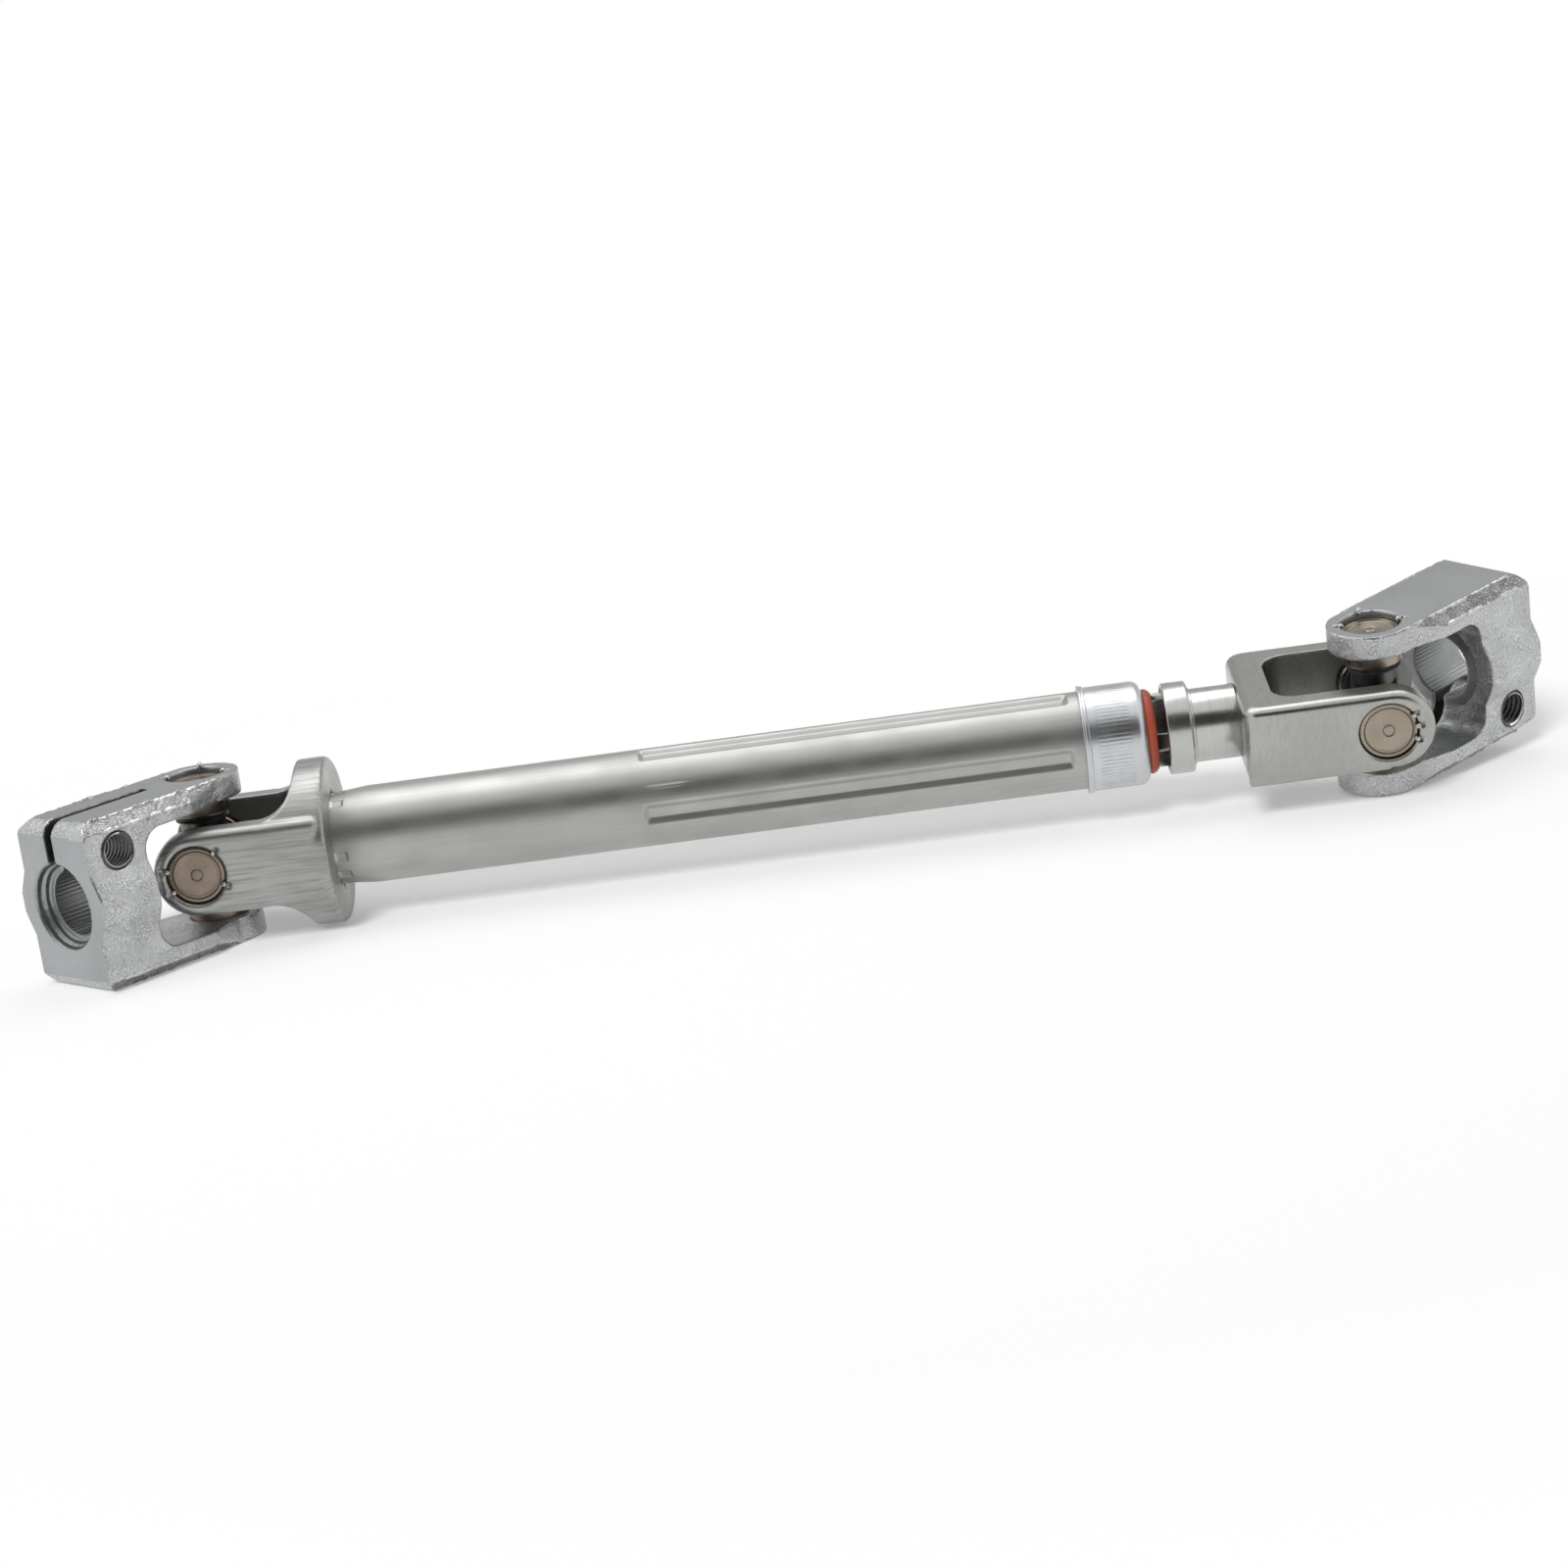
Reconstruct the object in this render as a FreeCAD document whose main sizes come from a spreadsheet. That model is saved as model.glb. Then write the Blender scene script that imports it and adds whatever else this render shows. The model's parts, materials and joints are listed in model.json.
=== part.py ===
import FreeCAD, Part
import math
import os

import Sketcher

# Intermediate steering shaft: two cardan joints, a sliding shaft between them and a clamp yoke at
# each end. Millimetres. The tube runs along +X, the lower joint is at its left end, +Z is up.
# Every piece is drawn about its own joint centre or on the tube's axis and then put in its place.

DRIVING_SIZES = [
    # Joint centres, bend of the two joints at rest, and how the whole lies on the ground
    ("joint_span", 321.8, "between the joint centres with the slide pushed in"),
    ("lower_bend_angle", 48.4, "degrees between the tube and the lower clamp yoke"),
    ("upper_bend_angle", 41.5, "degrees between the tube and the upper clamp yoke"),
    ("yoke_phase_angle", 9.5, "degrees between the two forks of the sliding shaft"),
    ("lie_roll_angle", -0.2, "degrees of roll about the tube as it lies"),
    ("lie_pitch_angle", -0.3, "degrees that the upper end lies lower"),
    # Bearing kit of both crosses
    ("cup_radius", 8.0, "bearing cup, outside"),
    ("cup_wall", 1.1, "bearing cup, side wall"),
    ("cup_base", 1.5, "bearing cup, closed end"),
    ("cup_length", 9.0, "bearing cup, height"),
    ("cup_reach", 21.4, "joint centre to the closed face of a cup"),
    ("cup_dish", 0.35, "depth pressed into the closed face"),
    ("cup_edge", 0.6, "chamfer of the cup"),
    ("needle_diameter", 2.4, "needle roller"),
    ("needle_length", 6.2, "needle roller"),
    ("bearing_play", 0.02, "radial play on each side of the needles"),
    ("end_play", 0.1, "cross end to cup base"),
    ("seal_radius", 7.3, "trunnion seal, outside"),
    ("seal_thickness", 1.5, "trunnion seal"),
    ("seal_gap", 0.2, "cup mouth to trunnion seal"),
    ("shoulder_radius", 6.2, "arms of the cross beside the seals"),
    ("hub_radius", 8.0, "middle of the cross"),
    ("hub_width", 11.0, "middle of the cross"),
    # Forks of the sliding shaft
    ("ear_face", 22.4, "joint centre to the outer face of an ear"),
    ("ear_thickness", 7.6, "ear of the tube yoke and the shaft yoke"),
    ("ear_round", 11.7, "half height and end radius of an ear"),
    ("ear_edge", 2.6, "rounding of the ear's outer edges"),
    ("ear_mouth", 0.5, "chamfer of a cup bore"),
    ("fork_corner", 6.5, "rounding at the bottom of a fork"),
    # Tube yoke
    ("flange_face", 36.2, "joint centre to the face round the tube"),
    ("flange_thickness", 8.4, "flange of the tube yoke"),
    ("flange_radius", 22.9, "flange of the tube yoke"),
    ("flange_edge", 1.6, "rounding of the flange's rim"),
    ("flare_radius", 10.0, "hollow curve from ear to flange"),
    ("tube_fork_depth", 25.6, "joint centre to the bottom of the fork"),
    ("tube_socket", 7.2, "depth of the seat for the tube"),
    ("root_hole", 8.6, "radius of the hole behind the tube"),
    # Outer tube
    ("tube_radius", 13.35, "outside"),
    ("tube_wall", 2.75, "wall"),
    ("neck_radius", 12.65, "outside, where the tube enters its yoke"),
    ("neck_length", 9.0, "straight neck from the tube's end"),
    ("neck_taper", 8.0, "length of the cone behind the neck"),
    ("flute_inset", 16.8, "upper end of the tube to the flutes"),
    ("flute_length", 118.0, "flutes pressed into the tube"),
    ("flute_width", 6.0, "flute at its rim"),
    ("flute_floor", 2.7, "flute at its floor"),
    ("flute_depth", 1.05, "flute, pressed in"),
    ("flute_slope", 1.5, "run of a flute's sloped end"),
    ("flute_turn_angle", 7.5, "degrees from the lower ears to the first flute"),
    ("tube_setback", 66.0, "upper joint centre to the upper end of the tube"),
    # Slide sleeve, seal and retainer
    ("sleeve_wall", 0.5, "moulded sleeve between tube and shaft"),
    ("sleeve_inset", 2.0, "flute's end to the sleeve's end"),
    ("slide_play", 0.03, "radial play of the shaft in the sleeve"),
    ("retainer_grip", 14.2, "length of tube inside the retainer"),
    ("retainer_wall", 0.85, "pressed sheet of the retainer"),
    ("retainer_bead", 1.7, "width of the rolled rim"),
    ("retainer_step", 0.6, "rolled rim above the crimped band"),
    ("retainer_shoulder", 2.9, "rounding of the retainer's closed end"),
    ("retainer_mouth", 11.15, "radius of the hole in the closed end"),
    ("seal_room", 0.15, "tube's end to the rounding of the retainer"),
    ("lip_length", 2.5, "how far the wiper seal stands out"),
    ("lip_wall", 0.35, "wiper lip at its tip"),
    ("lip_play", 0.1, "wiper seal to shaft"),
    # Inner shaft and its collar
    ("spline_inset", 6.0, "start of the flutes to the shaft's inner end, slide pushed in"),
    ("shaft_radius", 10.05, "turned shaft between collar and yoke"),
    ("collar_gap", 2.85, "tip of the wiper seal to the collar, slide pushed in"),
    ("collar_width", 7.0, "collar"),
    ("collar_radius", 12.5, "collar"),
    ("collar_edge", 0.8, "chamfer of the collar"),
    ("collar_cup_radius", 11.4, "hollow in the collar's left side"),
    ("collar_cup_depth", 2.4, "hollow in the collar's left side"),
    ("shaft_edge", 0.3, "chamfer of the shaft's inner end"),
    # Shaft yoke
    ("base_face", 38.0, "upper joint centre to the back of the shaft yoke"),
    ("base_thickness", 9.2, "back of the shaft yoke"),
    ("base_corner", 5.0, "outer bend between the back and an arm"),
    ("shaft_ear_round", 11.0, "half height and end radius of an ear"),
    ("shaft_ear_ahead", 1.6, "joint centre to the middle of an ear's round end"),
    ("shaft_seat_radius", 8.6, "end of the shaft inside the yoke"),
    # Clamp yokes, both alike
    ("clamp_face", 23.2, "joint centre to the machined outer face"),
    ("clamp_gap", 16.6, "half the opening between the arms"),
    ("lower_fork_room", 5.7, "swing of the tube yoke's ears to the bottom of the opening"),
    ("upper_fork_room", 2.7, "swing of the shaft yoke's ears to the bottom of the opening"),
    ("lower_block", 19.0, "bottom of the opening to the end face, lower clamp yoke"),
    ("upper_block", 21.6, "bottom of the opening to the end face, upper clamp yoke"),
    ("clamp_corner", 6.0, "rounding at the bottom of the opening"),
    ("clamp_ear_round", 11.8, "end radius of an arm"),
    ("flat_half", 11.4, "half width of the machined face"),
    ("clamp_half", 15.0, "half width of the block"),
    ("bevel_drop", 3.2, "height of the long bevels"),
    ("bulge_radius", 17.9, "boss round the bore"),
    ("bulge_half", 3.5, "half height of the boss's round part"),
    ("bulge_foot", 9.0, "half height of the boss at the block"),
    ("flare_start", 3.0, "joint centre to where the arms widen"),
    ("flare_end", 14.0, "joint centre to the arms' full width"),
    ("slit_corner", 5.2, "rounding of the end on the slit's side"),
    ("plain_corner", 4.6, "rounding of the end on the plain side"),
    ("cast_edge", 1.1, "rounding of the cast edges"),
    ("clamp_bore", 9.0, "radius of the bore for the steering spline"),
    ("mouth_radius", 11.7, "radius of the bore's wide mouth"),
    ("mouth_depth", 2.4, "depth of the wide mouth"),
    ("ring_radius", 10.8, "radius of the step behind the mouth"),
    ("ring_depth", 4.2, "depth of that step from the end face"),
    ("mouth_edge", 0.45, "chamfer of the mouth"),
    ("slit_width", 3.0, "saw slit"),
    ("slit_reach", 16.0, "joint centre to the end of the slit"),
    ("pinch_inset", 10.2, "end face to the pinch bolt's axis"),
    ("pinch_height", 14.0, "bore's axis to the pinch bolt's axis"),
    ("thread_radius", 4.3, "threaded side of the pinch bolt hole, minor radius"),
    ("clearance_radius", 5.25, "plain side of the pinch bolt hole"),
]


# How far an outline that cuts runs past the face it opens, and a loft above the skin it cuts
PAST_FACE = 1.0
PAST_SKIN = 0.01

# How near two places are that count as one, and how small a cut counts as none
SAME_PLACE = 1e-3

# Flutes round the tube, and grooves of the sleeve and the shaft that they slide in
FLUTES = 4


class Size:
    """A number together with the formula that ties a feature to the sheet."""

    def __init__(self, value, formula):
        self.value = value
        self.formula = formula

    def __add__(self, other):
        other = as_size(other)
        return Size(self.value + other.value, f"({self.formula} + {other.formula})")

    def __sub__(self, other):
        other = as_size(other)
        return Size(self.value - other.value, f"({self.formula} - {other.formula})")

    def __mul__(self, other):
        other = as_size(other)
        return Size(self.value * other.value, f"({self.formula} * {other.formula})")

    def __truediv__(self, other):
        other = as_size(other)
        return Size(self.value / other.value, f"({self.formula} / {other.formula})")

    def __neg__(self):
        return Size(-self.value, f"(-1 * {self.formula})")


def as_size(number):
    """A plain number as a Size, so that both can be mixed."""
    if isinstance(number, Size):
        return number
    return Size(float(number), repr(float(number)))


def leg(long_side, other_leg):
    """The other leg of a right triangle, as where an arc meets a straight side."""
    square = long_side * long_side - other_leg * other_leg
    return Size(math.sqrt(square.value), f"sqrt({square.formula})")


def hypotenuse(first_leg, second_leg):
    """The long side of a right triangle, as the swing of an ear's corner about the joint."""
    square = first_leg * first_leg + second_leg * second_leg
    return Size(math.sqrt(square.value), f"sqrt({square.formula})")


doc = FreeCAD.newDocument("intermediate_steering_shaft")


class Sizes:
    """The driving dimensions, read from the sheet by their names."""


def write_sheet():
    """Put the driving dimensions in a sheet and hand them out as Size objects."""
    sheet = doc.addObject("Spreadsheet::Sheet", "sizes")
    named = Sizes()
    for row, (alias, number, meaning) in enumerate(DRIVING_SIZES, start=1):
        sheet.set(f"A{row}", alias)
        sheet.set(f"B{row}", str(number))
        sheet.set(f"C{row}", meaning)
        sheet.setAlias(f"B{row}", alias)
        setattr(named, alias, Size(float(number), f"sizes.{alias}"))
    doc.recompute()
    return named


size = write_sheet()

# Sizes that follow from the driving ones
trunnion_radius = size.cup_radius - size.cup_wall - size.needle_diameter - size.bearing_play * 2
trunnion_end = size.cup_reach - size.cup_base - size.end_play
needle_circle = trunnion_radius + size.bearing_play + size.needle_diameter / 2
seal_outer_end = size.cup_reach - size.cup_length - size.seal_gap
shoulder_end = seal_outer_end - size.seal_thickness
tube_bore = size.tube_radius - size.tube_wall
tube_start = size.flange_face - size.tube_socket
sleeve_bore = tube_bore - size.sleeve_wall
spline_radius = sleeve_bore - size.slide_play
tube_end = size.joint_span - size.tube_setback
flute_end = tube_end - size.flute_inset
flute_start = flute_end - size.flute_length
rib_top = tube_bore - size.flute_depth
rib_root = tube_bore + size.tube_wall / 2
half_floor = size.flute_floor / 2
half_rim = size.flute_width / 2
rib_half_rim = half_floor + (half_rim - half_floor) * (size.flute_depth / (rib_root - rib_top))
retainer_end = tube_end + size.seal_room + size.retainer_shoulder
retainer_inner_end = retainer_end - size.retainer_wall
retainer_round_in = size.retainer_shoulder - size.retainer_wall
lip_tip = retainer_end + size.lip_length
collar_start = lip_tip + size.collar_gap
step_start = collar_start + size.collar_cup_depth
lower_root = hypotenuse(size.ear_round, size.ear_face) + size.lower_fork_room
shaft_ear_tip = size.shaft_ear_ahead + size.shaft_ear_round
upper_root = hypotenuse(shaft_ear_tip, size.ear_face) + size.upper_fork_room


def bind(thing, name, length):
    """Give a property its value and tie it to the sheet."""
    length = as_size(length)
    setattr(thing, name, length.value)
    if "sizes." in length.formula:
        thing.setExpression(name, length.formula)


def origin_part(body, role):
    """The plane or axis of a body's own origin."""
    return [part for part in body.Origin.OriginFeatures if part.Role == role][0]


def new_body(label):
    """An empty body whose label names its piece."""
    body = doc.addObject("PartDesign::Body", label)
    body.Label = label
    return body


def new_sketch(body, plane, name, offset=None):
    """A sketch on one of the body's origin planes, moved along the plane's normal by offset."""
    sketch = body.newObject("Sketcher::SketchObject", f"{body.Name}_{name}")
    sketch.AttachmentSupport = (origin_part(body, plane), [""])
    sketch.MapMode = "FlatFace"
    if offset is not None:
        sketch.setExpression("AttachmentOffset.Base.z", as_size(offset).formula)
    return sketch


def tie_length(sketch, kind, edge, end, length):
    """A distance from the sketch's origin to one end of an edge."""
    number = sketch.addConstraint(Sketcher.Constraint(kind, -1, 1, edge, end, length.value))
    if "sizes." in length.formula:
        sketch.setExpression(f"Constraints[{number}]", length.formula)


def tie_point(sketch, edge, end, across, up):
    """Fix one end of an edge at a place given by two sizes."""
    across = as_size(across)
    up = as_size(up)
    if across.formula == "0.0":
        sketch.addConstraint(Sketcher.Constraint("PointOnObject", edge, end, -2))
    else:
        tie_length(sketch, "DistanceX", edge, end, across)
    if up.formula == "0.0":
        sketch.addConstraint(Sketcher.Constraint("PointOnObject", edge, end, -1))
    else:
        tie_length(sketch, "DistanceY", edge, end, up)


def tie_radius(sketch, edge, radius):
    """Tie the radius of a circle or an arc to the sheet."""
    number = sketch.addConstraint(Sketcher.Constraint("Radius", edge, radius.value))
    if "sizes." in radius.formula:
        sketch.setExpression(f"Constraints[{number}]", radius.formula)


def arc_between(start, end, radius, leftward):
    """The short arc from start to end, with its centre on the left or right of the way."""
    chord = end - start
    left = FreeCAD.Vector(-chord.y, chord.x, 0).normalize()
    height = math.sqrt(max(radius**2 - (chord.Length / 2) ** 2, 0.0))
    side = 1 if leftward else -1
    centre = (start + end) * 0.5 + left * height * side
    first, last = (start, end) if leftward else (end, start)
    start_angle = math.atan2(first.y - centre.y, first.x - centre.x)
    end_angle = math.atan2(last.y - centre.y, last.x - centre.x)
    if end_angle < start_angle:
        end_angle += 2 * math.pi
    circle = Part.Circle(centre, FreeCAD.Vector(0, 0, 1), radius)
    return Part.ArcOfCircle(circle, start_angle, end_angle)


def outline(sketch, corners):
    """Draw a closed outline through corners (x, y).

    A corner may carry a third size: the edge that leaves it is then an arc of that radius, with
    its centre on the left of the way, or on the right where the fourth item is "right".
    """
    places = [FreeCAD.Vector(as_size(c[0]).value, as_size(c[1]).value, 0) for c in corners]
    heads = []
    tails = []
    for index, corner in enumerate(corners):
        start = places[index]
        end = places[(index + 1) % len(places)]
        if len(corner) == 2:
            edge = sketch.addGeometry(Part.LineSegment(start, end), False)
            heads.append((edge, 1))
            tails.append((edge, 2))
            continue
        radius = as_size(corner[2])
        leftward = len(corner) < 4
        edge = sketch.addGeometry(arc_between(start, end, radius.value, leftward), False)
        heads.append((edge, 1 if leftward else 2))
        tails.append((edge, 2 if leftward else 1))
        tie_radius(sketch, edge, radius)
    for index, tail in enumerate(tails):
        head = heads[(index + 1) % len(heads)]
        sketch.addConstraint(Sketcher.Constraint("Coincident", *tail, *head))
    for head, corner in zip(heads, corners):
        tie_point(sketch, *head, corner[0], corner[1])


def circle(sketch, across, up, radius):
    """Draw a circle."""
    radius = as_size(radius)
    centre = FreeCAD.Vector(as_size(across).value, as_size(up).value, 0)
    round_edge = Part.Circle(centre, FreeCAD.Vector(0, 0, 1), radius.value)
    edge = sketch.addGeometry(round_edge, False)
    tie_radius(sketch, edge, radius)
    tie_point(sketch, edge, 3, across, up)


def add_feature(body, kind, sketch):
    """A sketched feature of a body, named after its sketch."""
    feature = body.newObject(f"PartDesign::{kind}", f"{sketch.Name}_{kind.lower()}")
    feature.Profile = sketch
    sketch.Visibility = False
    return feature


def refresh(body):
    """Recompute, and stop at the first feature of the body that failed."""
    doc.recompute()
    for feature in body.Group:
        if "Invalid" in feature.State or "Error" in feature.State:
            raise RuntimeError(f"{feature.Name} failed: {feature.getStatusString()}")
    if not body.Shape.isValid():
        raise RuntimeError(f"{body.Group[-1].Name} leaves an unsound solid")


def pad(body, sketch, length, symmetric=False, backwards=False):
    """Extrude a sketch along its normal, or to both sides of it."""
    feature = add_feature(body, "Pad", sketch)
    feature.SideType = "Symmetric" if symmetric else "One side"
    feature.Reversed = backwards
    bind(feature, "Length", length)
    refresh(body)
    return feature


def check_cut(body, feature, volume_before):
    """Stop where a cut took nothing away, as when it points away from the solid."""
    refresh(body)
    if feature.Shape.Volume > volume_before - SAME_PLACE:
        raise RuntimeError(f"{feature.Name} of {body.Label} cuts nothing")
    return feature


def pocket(body, sketch, length=None, symmetric=False, backwards=False):
    """Cut a sketch into the body against its normal, right through where no length is given."""
    volume = body.Shape.Volume
    feature = add_feature(body, "Pocket", sketch)
    feature.SideType = "Symmetric" if symmetric else "One side"
    feature.Reversed = backwards
    if length is None:
        feature.Type = "ThroughAll"
    else:
        bind(feature, "Length", length)
    return check_cut(body, feature, volume)


def turn(body, sketch, axis="H_Axis"):
    """Revolve a sketch about its own horizontal or vertical axis."""
    feature = add_feature(body, "Revolution", sketch)
    feature.ReferenceAxis = (sketch, [axis])
    refresh(body)
    return feature


def bore_out(body, sketch, axis="H_Axis"):
    """Cut a revolved sketch out of the body."""
    volume = body.Shape.Volume
    feature = add_feature(body, "Groove", sketch)
    feature.ReferenceAxis = (sketch, [axis])
    return check_cut(body, feature, volume)


def edges_where(feature, test):
    """Names of the feature's edges that pass a test."""
    edges = feature.Shape.Edges
    return [f"Edge{number}" for number, edge in enumerate(edges, start=1) if test(edge)]


def soften(body, feature, test, kind, amount):
    """Fillet or chamfer the edges of a feature that pass a test."""
    softened = body.newObject(f"PartDesign::{kind}", f"{feature.Name}_{kind.lower()}")
    softened.Base = (feature, edges_where(feature, test))
    bind(softened, "Radius" if kind == "Fillet" else "Size", amount)
    refresh(body)
    return softened


def repeat_round(body, feature, axis, count):
    """Repeat a feature evenly about an axis of the body's origin."""
    pattern = body.newObject("PartDesign::PolarPattern", f"{feature.Name}_ring")
    pattern.Originals = [feature]
    pattern.Axis = (origin_part(body, axis), [""])
    pattern.Angle = 360
    pattern.Occurrences = count
    body.Tip = pattern
    refresh(body)
    return pattern


def lies_in_plane(edge, axis, place):
    """Whether an edge lies wholly in the plane where the axis has the value place."""
    box = edge.BoundBox
    low = {"x": box.XMin, "y": box.YMin, "z": box.ZMin}[axis]
    high = {"x": box.XMax, "y": box.YMax, "z": box.ZMax}[axis]
    return abs(low - place) < SAME_PLACE and abs(high - place) < SAME_PLACE


def runs_along_x(edge):
    """Whether an edge is straight and runs along X."""
    box = edge.BoundBox
    return box.XLength > SAME_PLACE and box.YLength < SAME_PLACE and box.ZLength < SAME_PLACE


def is_round(edge, radius):
    """Whether an edge is part of a circle of this radius."""
    return isinstance(edge.Curve, Part.Circle) and abs(edge.Curve.Radius - radius) < SAME_PLACE


def fork_gap(body, root, half_gap, corner, open_end, plane):
    """Cut the opening of a fork whose arms point along +X, with a rounded bottom."""
    sketch = new_sketch(body, plane, "gap")
    outline(
        sketch,
        [
            (open_end, half_gap),
            (root + corner, half_gap, corner),
            (root, half_gap - corner),
            (root, corner - half_gap, corner),
            (root + corner, -half_gap),
            (open_end, -half_gap),
        ],
    )
    return pocket(body, sketch, symmetric=True)


def cup_bores(body, plane, radius, face, axis):
    """Cut the two bores for the bearing cups and chamfer their outer mouths."""
    sketch = new_sketch(body, plane, "cup_bore")
    circle(sketch, 0, 0, radius)
    bores = pocket(body, sketch, symmetric=True)

    def outer_mouth(edge):
        flat = lies_in_plane(edge, axis, face.value) or lies_in_plane(edge, axis, -face.value)
        return flat and is_round(edge, radius.value)

    return soften(body, bores, outer_mouth, "Chamfer", size.ear_mouth)


def make_tube_yoke():
    """Fork and flange at the lower end of the tube. Its arms point along +X, the tube is at -X."""
    body = new_body("tube_yoke")
    ear = size.ear_round
    flare = size.flare_radius
    inner_face = size.flange_face - size.flange_thickness
    top = size.flange_radius
    side = new_sketch(body, "XZ_Plane", "side")
    outline(
        side,
        [
            (0, -ear, ear),
            (ear, 0, ear),
            (0, ear),
            (flare - inner_face, ear, flare, "right"),
            (-inner_face, ear + flare),
            (-inner_face, top),
            (-size.flange_face, top),
            (-size.flange_face, -top),
            (-inner_face, -top),
            (-inner_face, -ear - flare, flare, "right"),
            (flare - inner_face, -ear),
        ],
    )
    block = pad(body, side, size.ear_face * 2, symmetric=True)

    def ear_edge(edge):
        face = size.ear_face.value
        flat = lies_in_plane(edge, "y", face) or lies_in_plane(edge, "y", -face)
        return flat and edge.BoundBox.XMax > SAME_PLACE - inner_face.value

    soften(body, block, ear_edge, "Fillet", size.ear_edge)
    corner_profile = new_sketch(body, "XY_Plane", "rim")
    far = size.flange_radius * 2
    rim = size.flange_edge
    outline(
        corner_profile,
        [
            (-size.flange_face, size.flange_radius - rim, rim, "right"),
            (rim - size.flange_face, size.flange_radius),
            (flare - inner_face, size.flange_radius),
            (flare - inner_face, far),
            (-size.flange_face, far),
        ],
    )
    bore_out(body, corner_profile)
    half_gap = size.ear_face - size.ear_thickness
    fork_gap(body, -size.tube_fork_depth, half_gap, size.fork_corner, ear * 2, "XY_Plane")
    seat = new_sketch(body, "XY_Plane", "seat")
    bottom = -size.tube_fork_depth
    outline(
        seat,
        [
            (-size.flange_face - PAST_FACE, 0),
            (-size.flange_face - PAST_FACE, size.neck_radius),
            (-tube_start, size.neck_radius),
            (-tube_start, size.root_hole),
            (bottom + PAST_FACE, size.root_hole),
            (bottom + PAST_FACE, 0),
        ],
    )
    bore_out(body, seat)
    cup_bores(body, "XZ_Plane", size.cup_radius, size.ear_face, "y")
    return body


def make_shaft_yoke():
    """Plain U fork at the end of the sliding shaft. Its arms point along +X."""
    body = new_body("shaft_yoke")
    ear = size.shaft_ear_round
    ahead = size.shaft_ear_ahead
    back = -size.base_face
    side = new_sketch(body, "XZ_Plane", "side")
    outline(
        side,
        [
            (ahead, -ear, ear),
            (ahead + ear, 0, ear),
            (ahead, ear),
            (back, ear),
            (back, -ear),
        ],
    )
    block = pad(body, side, size.ear_face * 2, symmetric=True)

    def outer_bend(edge):
        return lies_in_plane(edge, "x", back.value) and edge.BoundBox.ZLength > ear.value

    bent = soften(body, block, outer_bend, "Fillet", size.base_corner)

    def outer_edge(edge):
        face = size.ear_face.value
        return lies_in_plane(edge, "y", face) or lies_in_plane(edge, "y", -face)

    soften(body, bent, outer_edge, "Fillet", size.ear_edge)
    half_gap = size.ear_face - size.ear_thickness
    root = back + size.base_thickness
    fork_gap(body, root, half_gap, size.fork_corner, ear * 2, "XY_Plane")
    seat = new_sketch(body, "YZ_Plane", "seat")
    circle(seat, 0, 0, size.shaft_seat_radius)
    pocket(body, seat, symmetric=True)
    cup_bores(body, "XZ_Plane", size.cup_radius, size.ear_face, "y")
    return body


def clamp_section():
    """Cross section of a clamp yoke, seen from its end face, clockwise from the top."""
    face = size.clamp_face
    shoulder = face - size.bevel_drop
    bulge = leg(size.bulge_radius, size.bulge_half)
    right_side = [
        (size.flat_half, face),
        (size.clamp_half, shoulder),
        (size.clamp_half, size.bulge_foot),
        (bulge, size.bulge_half, size.bulge_radius, "right"),
        (bulge, -size.bulge_half),
        (size.clamp_half, -size.bulge_foot),
        (size.clamp_half, -shoulder),
        (size.flat_half, -face),
    ]
    left_side = [
        (-size.flat_half, -face),
        (-size.clamp_half, -shoulder),
        (-size.clamp_half, -size.bulge_foot),
        (-bulge, -size.bulge_half, size.bulge_radius, "right"),
        (-bulge, size.bulge_half),
        (-size.clamp_half, size.bulge_foot),
        (-size.clamp_half, shoulder),
        (-size.flat_half, face),
    ]
    return right_side + left_side


def round_end(body, name, reach, radius, up):
    """Round the corner between the end face and the upper or lower face of a clamp yoke."""
    face = size.clamp_face * up
    inner = (size.clamp_face - radius) * up
    beyond = (size.clamp_face + radius) * up
    sketch = new_sketch(body, "XZ_Plane", name)
    arc_side = ("right",) if up > 0 else ()
    outline(
        sketch,
        [
            (reach - radius, face, radius, *arc_side),
            (reach, inner),
            (reach + radius, inner),
            (reach + radius, beyond),
            (reach - radius, beyond),
        ],
    )
    pocket(body, sketch, symmetric=True)


def trim_to_plan(body, root, reach):
    """Cut the clamp yoke to its outline seen from above: round ends that widen to the block."""
    ear = size.clamp_ear_round
    far = reach * 2
    wide = size.bulge_radius + PAST_FACE
    sketch = new_sketch(body, "XY_Plane", "plan")
    outline(sketch, [(-far, -far), (far, -far), (far, far), (-far, far)])
    outline(
        sketch,
        [
            (-ear, 0, ear),
            (0, -ear),
            (size.flare_start, -ear),
            (size.flare_end, -size.clamp_half),
            (root, -wide),
            (reach + PAST_FACE, -wide),
            (reach + PAST_FACE, wide),
            (root, wide),
            (size.flare_end, size.clamp_half),
            (size.flare_start, ear),
            (0, ear, ear),
        ],
    )
    pocket(body, sketch, symmetric=True)


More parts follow.
